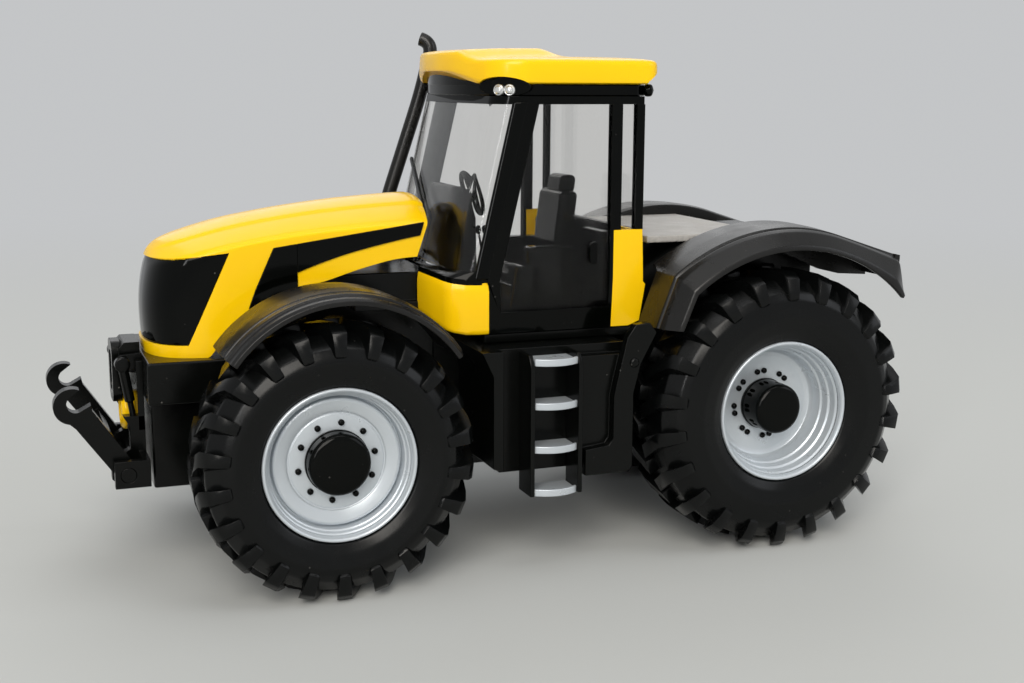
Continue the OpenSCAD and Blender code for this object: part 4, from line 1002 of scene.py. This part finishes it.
def crest(degrees):
    """The guard's outer radius: round the wheel first, then straight on to the tail, then down to the tip."""
    straight = REAR_TOP / math.cos(math.radians(max(STRAIGHT, min(degrees, TAIL)) - STRAIGHT))
    return straight + (REAR_R + 3.4 - straight) * max(0.0, (degrees - TAIL) / (TIP - TAIL))


def top_ring(degrees, hand):
    """The top's section at an angle, lifted to the crest."""
    lift = crest(degrees) - REAR_TOP
    return arc_section([(r + lift, y) for r, y in TOP_SECTION], REAR_C, degrees, hand)


def lip_ring(degrees, hand):
    """The lip's section at an angle, stretched up to the crest."""
    stretch = (crest(degrees) - REAR_R) / (REAR_TOP - REAR_R)
    return arc_section([(REAR_R + (r - REAR_R) * stretch, y) for r, y in LIP_SECTION], REAR_C, degrees, hand)


guards = []
for hand in (1, -1):
    for ring, end, section in ((top_ring, TAIL, TOP_SECTION), (lip_ring, TIP, LIP_SECTION)):
        rings = [ring(end + (BEND + 2 - end) * k / 84, hand) for k in range(85)]
        for share in (0.0, 0.04, 0.12, 0.25, 0.5, 0.75, 1.0):
            rings.append([leg_point(r, y, share, hand) for r, y in section])
        guards.append(skin(rings))
    guards.append(side_plate(SKIRT, hand, REAR_IN + 0.06, REAR_IN + 1.34))
    guards.append(side_plate(TAIL_WALL, hand, REAR_IN + 0.5, GROOVE + 0.2))
make("rear_mudguard_pair", joined(*guards), "grey_plastic", stands_for=("rear_mudguards",), edge=0.2, crease=50)

# %% [markdown]
# ### Deck
# Between the rear mudguards lies a pale plate with an anti-slip grain, and behind it a black slope falls
# away to the tail. Both are plain plates drawn from their side outlines.

# %% Deck
DECK_Z, DECK_T, DECK_HALF, DECK_BACK, DECK_FRONT = 66.5, 1.5, 22.0, -4.5, 25.0
DECK = [(DECK_BACK, DECK_Z - DECK_T), (DECK_FRONT, DECK_Z - DECK_T), (DECK_FRONT, DECK_Z), (DECK_BACK, DECK_Z)]
DECK_SLOPE = [(-4.4, 63.0), (-4.4, 65.4), (-24.0, 58.6), (-24.0, 56.6)]
make("deck_plate", plate(DECK, -DECK_HALF, DECK_HALF), "deck_grey", stands_for=("rear_deck",), edge=0.3)
make("deck_tail", plate(DECK_SLOPE, -DECK_HALF + 0.1, DECK_HALF - 0.1), "black_plastic", edge=0.3)

# %% [markdown]
# ## Exhaust stack
# A round pipe with two gentle bends, two collars at its foot, and a mouth that curves forward. A tube
# is swept along a path whose bends are rounded first, and the mouth is turned in to give the pipe its
# wall.

# %% Exhaust stack
PIPE_X, PIPE_Y, PIPE_R, PIPE_BORE, MOUTH_DEPTH = 68.6, -28.8, 1.6, 0.74, 1.6
PIPE_END = [Vector(p) for p in ((57.0, PIPE_Y, 104.6), (56.4, PIPE_Y, 107.4), (58.9, PIPE_Y - 1.2, 108.2))]
COLLAR, COLLAR_HEIGHTS = rounded([(1.5, 0), (1.95, 0), (1.95, 1.4), (1.5, 1.4)], 0.2, 2), (50.0, 62.0)


def swept_tube(path, radius, segments=32):
    """A tube along a path of points, with a hollow mouth."""
    rings = []
    for i, point in enumerate(path):
        before, after = path[max(i - 1, 0)], path[min(i + 1, len(path) - 1)]
        ahead = (after - before).normalized()
        out = Vector((0, 1, 0)).cross(ahead).normalized()
        over = ahead.cross(out)
        rings.append([point + (out * math.cos(a) + over * math.sin(a)) * radius * MM
                      for a in round_angles(segments)])
    inner = [path[-1] + (p - path[-1]) * PIPE_BORE for p in rings[-1]]
    deep = [p - (path[-1] - path[-2]).normalized() * MOUTH_DEPTH * MM for p in inner]
    return skin(rings + [inner, deep])


route = rounded([(PIPE_X, PIPE_Y, 46.0), (PIPE_X, PIPE_Y, 68.6), (59.4, PIPE_Y, 95.4), tuple(PIPE_END[0])],
                6.0, 10, closed=False)
route += [tuple(bend(*PIPE_END, k / 12)) for k in range(1, 13)]
collars = [drum(at(PIPE_X, PIPE_Y, z), (0, 0, 1), COLLAR, 32) for z in COLLAR_HEIGHTS]
make("exhaust_pipe", joined(swept_tube([at(*p) for p in route], PIPE_R), *collars), "grey_plastic",
     stands_for=("exhaust_stack",), edge=0.1, crease=50)

# %% [markdown]
# ## Frame, tanks, links and pins
# What is left are castings and mouldings with flat faces: they keep the CAD shape and get rounded
# edges that suit their size. The axles are steel and the rest is black.

# %% Castings and mouldings
EDGES = {"chassis": 0.4, "engine_block": 0.4, "rear_body": 0.5, "front_frame": 0.5, "front_lower_links": 0.3,
         "left_tank": 0.45, "right_tank": 0.45, "ladder_frame": 0.25, "drawbar_hitch": 0.3, "rear_lower_links": 0.3,
         "rear_link_bar": 0.2, "front_axle": 0.15, "rear_axle": 0.15, "front_link_pin": 0.15, "rear_link_pin": 0.15}
for node, edge in EDGES.items():
    soften(node, "steel_pin" if node.endswith("axle") else "black_plastic", edge)

# %% [markdown]
# ### Ladder steps and tank buttons
# Each step of the ladder is a silver tray with a bowed front and a lip that stands up along it: a floor
# and a lip, each drawn in plan and raised. A small black button closes a hole of each tank.

# %% Ladder steps and tank buttons
STEP_X, STEP_W, STEP_Y, STEP_IN, STEP_LOW, STEP_PITCH, STEP_BOW = 51.65, 4.6, 38.5, 31.0, 16.7, 8.867, 1.5
bow = [(STEP_X + STEP_W * t / 6, STEP_Y - STEP_BOW * (t / 6) ** 2) for t in range(-6, 7)]
floor_plan = [(STEP_X - STEP_W, STEP_IN)] + [(x, y - 0.3) for x, y in bow] + [(STEP_X + STEP_W, STEP_IN)]
lip_plan = bow + [(x, y - 0.75) for x, y in reversed(bow)]
trays = []
for k in range(4):
    z = STEP_LOW + STEP_PITCH * k
    for plan, low, high in ((floor_plan, z + 0.2, z + 1.0), (lip_plan, z, z + 1.45)):
        trays.append(skin([[at(x, y, height) for x, y in plan] for height in (low, high)]))
make("step_trays", joined(*trays), "silver_plastic", stands_for=("ladder_steps",), edge=0.16)
BUTTON = rounded([(0.0, 0.55), (0.7, 0.5), (1.05, 0.15), (1.05, -0.4), (0.0, -0.4)], 0.2, 3, closed=False)
buttons = [drum(at(34.0, hand * 35.8, 42.4), (0, hand, 0), BUTTON, 24) for hand in (1, -1)]
make("tank_buttons", joined(*buttons), "black_plastic")

# %% [markdown]
# ## Front hitch
# On the full-size machine two rams lift the arms that carry a tool ahead of the wheels, and a round
# guard covers the shaft that drives it. The lower casting with its pivot lugs is the CAD solid cut off
# below the rams. Above it stand an upright plate with a slot, drawn as rings one inside the other, a
# head behind the plate, and two rams with an eye at each end.

# %% Front hitch
HITCH_X, HEAD_Z, CAST_TOP, RAM_Y, RAM_LOW, RAM_HIGH = 128.6, 47.1, 33.0, 8.2, (130.4, 30.6), (132.4, 43.4)
HEAD = [(HITCH_X, 40.6), (HITCH_X + 4.2, 41.4), (HITCH_X + 4.2, HEAD_Z - 1.2), (HITCH_X + 3.0, HEAD_Z),
        (HITCH_X, HEAD_Z)]
BACK_PLATE = [(HITCH_X, 30.0), (HITCH_X + 1.3, 30.0), (HITCH_X + 1.3, 44.0), (HITCH_X, 44.0)]
RAM_ARM = [(HITCH_X, 41.9), (132.6, 42.0), (133.5, 43.4), (132.6, 44.9), (HITCH_X, 45.2)]
EYE = rounded([(0.0, -1.1), (1.5, -1.1), (1.5, 1.1), (0.0, 1.1)], 0.3, 2, closed=False)
# The upright plate's rings, from its back over the front face and into the slot
UPRIGHT = [(3.6, 4.0, 34.6, HEAD_Z, 2.6), (5.4, 4.0, 34.6, HEAD_Z, 2.6), (5.4, 2.2, 36.8, HEAD_Z - 2.2, 1.4),
           (4.4, 2.2, 36.8, HEAD_Z - 2.2, 1.4)]


def upright_ring(ahead, half, low, high, corner):
    """A rounded upright outline facing forward, as a ring of points."""
    outline = rounded([(-half, low), (half, low), (half, high), (-half, high)], corner, 8)
    return [at(HITCH_X + ahead, y, z) for y, z in outline]


casting = whole("front_hitch_frame")
cut_flat(casting, at(0, 0, CAST_TOP), (0, 0, 1), clear_outer=True)
close_holes(casting)
hitch = [casting, skin([upright_ring(*ring) for ring in UPRIGHT]), plate(HEAD, -5.0, 5.0), plate(BACK_PLATE, -9.4, 9.4)]
for hand in (1, -1):
    low, high = [at(x, hand * RAM_Y, z) for x, z in (RAM_LOW, RAM_HIGH)]
    length = (high - low).length / MM
    rod = rounded([(0.0, 0.0), (0.6, 0.0), (0.6, 5.2), (1.0, 5.4), (1.0, length), (0.0, length)], 0.15, 2, closed=False)
    hitch += [drum(low, high - low, rod, 24), drum(high, (0, 1, 0), EYE, 24), drum(low, (0, 1, 0), EYE, 24),
              side_plate(RAM_ARM, hand, 5.6, 7.0)]
make("front_hitch_casting", joined(*hitch), "black_plastic", stands_for=("front_hitch_frame",), edge=0.25, crease=40)
SHAFT_GUARD = rounded([(2.4, 0.6), (2.4, 2.3), (2.9, 2.7), (3.6, 2.5), (4.0, 1.9), (4.0, 0.0), (0.0, 0.0), (0.0, 0.6)],
                      0.2, 3, closed=False)
make("shaft_guard", drum(at(HITCH_X + 1.3, 0, 32.4), (1, 0, 0), SHAFT_GUARD, 48), "yellow_plastic",
     stands_for=("front_pto_guard",), crease=50)

# %% [markdown]
# ## Stage and light
# A pale floor and six soft lamps, as on a small product table: a broad key and back lamp, a fill, a soft
# overhead, and two narrow strips that draw a line of light along the glossy edges. The floor fades into
# the world away from the object, and the world is a plain grey dome that the camera, the gloss and the
# clear windows see as a pale backdrop.

# %% Floor
BACKDROP, BACKDROP_LEVEL, WORLD_LEVEL = linear("#F2F4F6"), 0.62, 0.34
FLOOR_HALF, FADE_FROM, FADE_TO = 4, 0.16, 0.8


def seen_directly(tree):
    """1 for what the camera, gloss and clear windows see, 0 for what only lights the object."""
    path = add(tree, "ShaderNodeLightPath").outputs
    seen = add(tree, "ShaderNodeMath", {0: path["Is Camera Ray"], 1: path["Is Glossy Ray"]}, operation="MAXIMUM")
    through = add(tree, "ShaderNodeMath", {0: seen.outputs[0], 1: path["Is Transmission Ray"]}, operation="MAXIMUM")
    return through.outputs[0]


floor_mesh = bpy.data.meshes.new("floor")
floor_corners = [(x * FLOOR_HALF, y * FLOOR_HALF, 0) for x, y in ((-1, -1), (1, -1), (1, 1), (-1, 1))]
floor_mesh.from_pydata(floor_corners, [], [(0, 1, 2, 3)])
floor = bpy.data.objects.new("floor", floor_mesh)
scene.collection.objects.link(floor)
paper = bpy.data.materials.new("pale_table")
paper.use_nodes = True
tree = paper.node_tree
table = tree.nodes["Principled BSDF"]
table.inputs["Base Color"].default_value = linear("#C6C8C6")
table.inputs["Roughness"].default_value = 0.8
place = add(tree, "ShaderNodeTexCoord").outputs["Object"]
away = add(tree, "ShaderNodeVectorMath", {0: place}, operation="LENGTH")
fade = add(tree, "ShaderNodeMapRange", {
    "Value": away.outputs["Value"], "From Min": FADE_FROM, "From Max": FADE_TO}, interpolation_type="SMOOTHSTEP")
share = add(tree, "ShaderNodeMath", {0: fade.outputs["Result"], 1: seen_directly(tree)}, operation="MULTIPLY")
glow = add(tree, "ShaderNodeEmission", {"Color": BACKDROP, "Strength": BACKDROP_LEVEL})
both_ways = add(tree, "ShaderNodeMixShader", {0: share.outputs[0], 1: table.outputs[0], 2: glow.outputs[0]})
tree.links.new(both_ways.outputs[0], tree.nodes["Material Output"].inputs["Surface"])
floor_mesh.materials.append(paper)
print("floor", 2 * FLOOR_HALF, "m wide")

# %% Lamps and world
def softbox(name, place, aim_z, size, power, tint, tall=None):
    """A lamp at a place, turned to a height above the middle: square, or as tall as given."""
    lamp = bpy.data.objects.new(name, bpy.data.lights.new(name, "AREA"))
    lamp.data.size, lamp.data.energy, lamp.data.color = size, power, linear(tint)[:3]
    if tall:
        lamp.data.shape, lamp.data.size_y = "RECTANGLE", tall
    lamp.location = place
    lamp.rotation_euler = (Vector((0, 0, aim_z)) - Vector(place)).to_track_quat("-Z", "Y").to_euler()
    scene.collection.objects.link(lamp)


softbox("key", (1.0, 2.3, 1.7), 0.05, 1.7, 65.0, "#FFFAF2")
softbox("overhead", (-0.3, 0.1, 2.5), 0.05, 1.6, 6.0, "#FFFFFF")
softbox("edge_strip", (1.81, 1.92, 0.9), 0.06, 0.2, 10.0, "#FFFFFF", 1.3)
softbox("top_strip", (0.0, 1.0, 2.2), 0.06, 2.0, 4.0, "#FFFFFF", 0.16)
softbox("fill", (-2.2, 1.5, 1.4), 0.05, 1.4, 9.0, "#F4F8FF")
softbox("back", (-0.6, -2.3, 1.9), 0.05, 2.6, 19.0, "#FFFFFF")

world = bpy.data.worlds.new("dome")
scene.world = world
world.use_nodes = True
tree = world.node_tree
strength = add(tree, "ShaderNodeMapRange", {
    "Value": seen_directly(tree), "To Min": WORLD_LEVEL, "To Max": BACKDROP_LEVEL})
ground = tree.nodes["Background"]
ground.inputs["Color"].default_value = BACKDROP
tree.links.new(strength.outputs["Result"], ground.inputs["Strength"])
scene.view_settings.view_transform = "Standard"
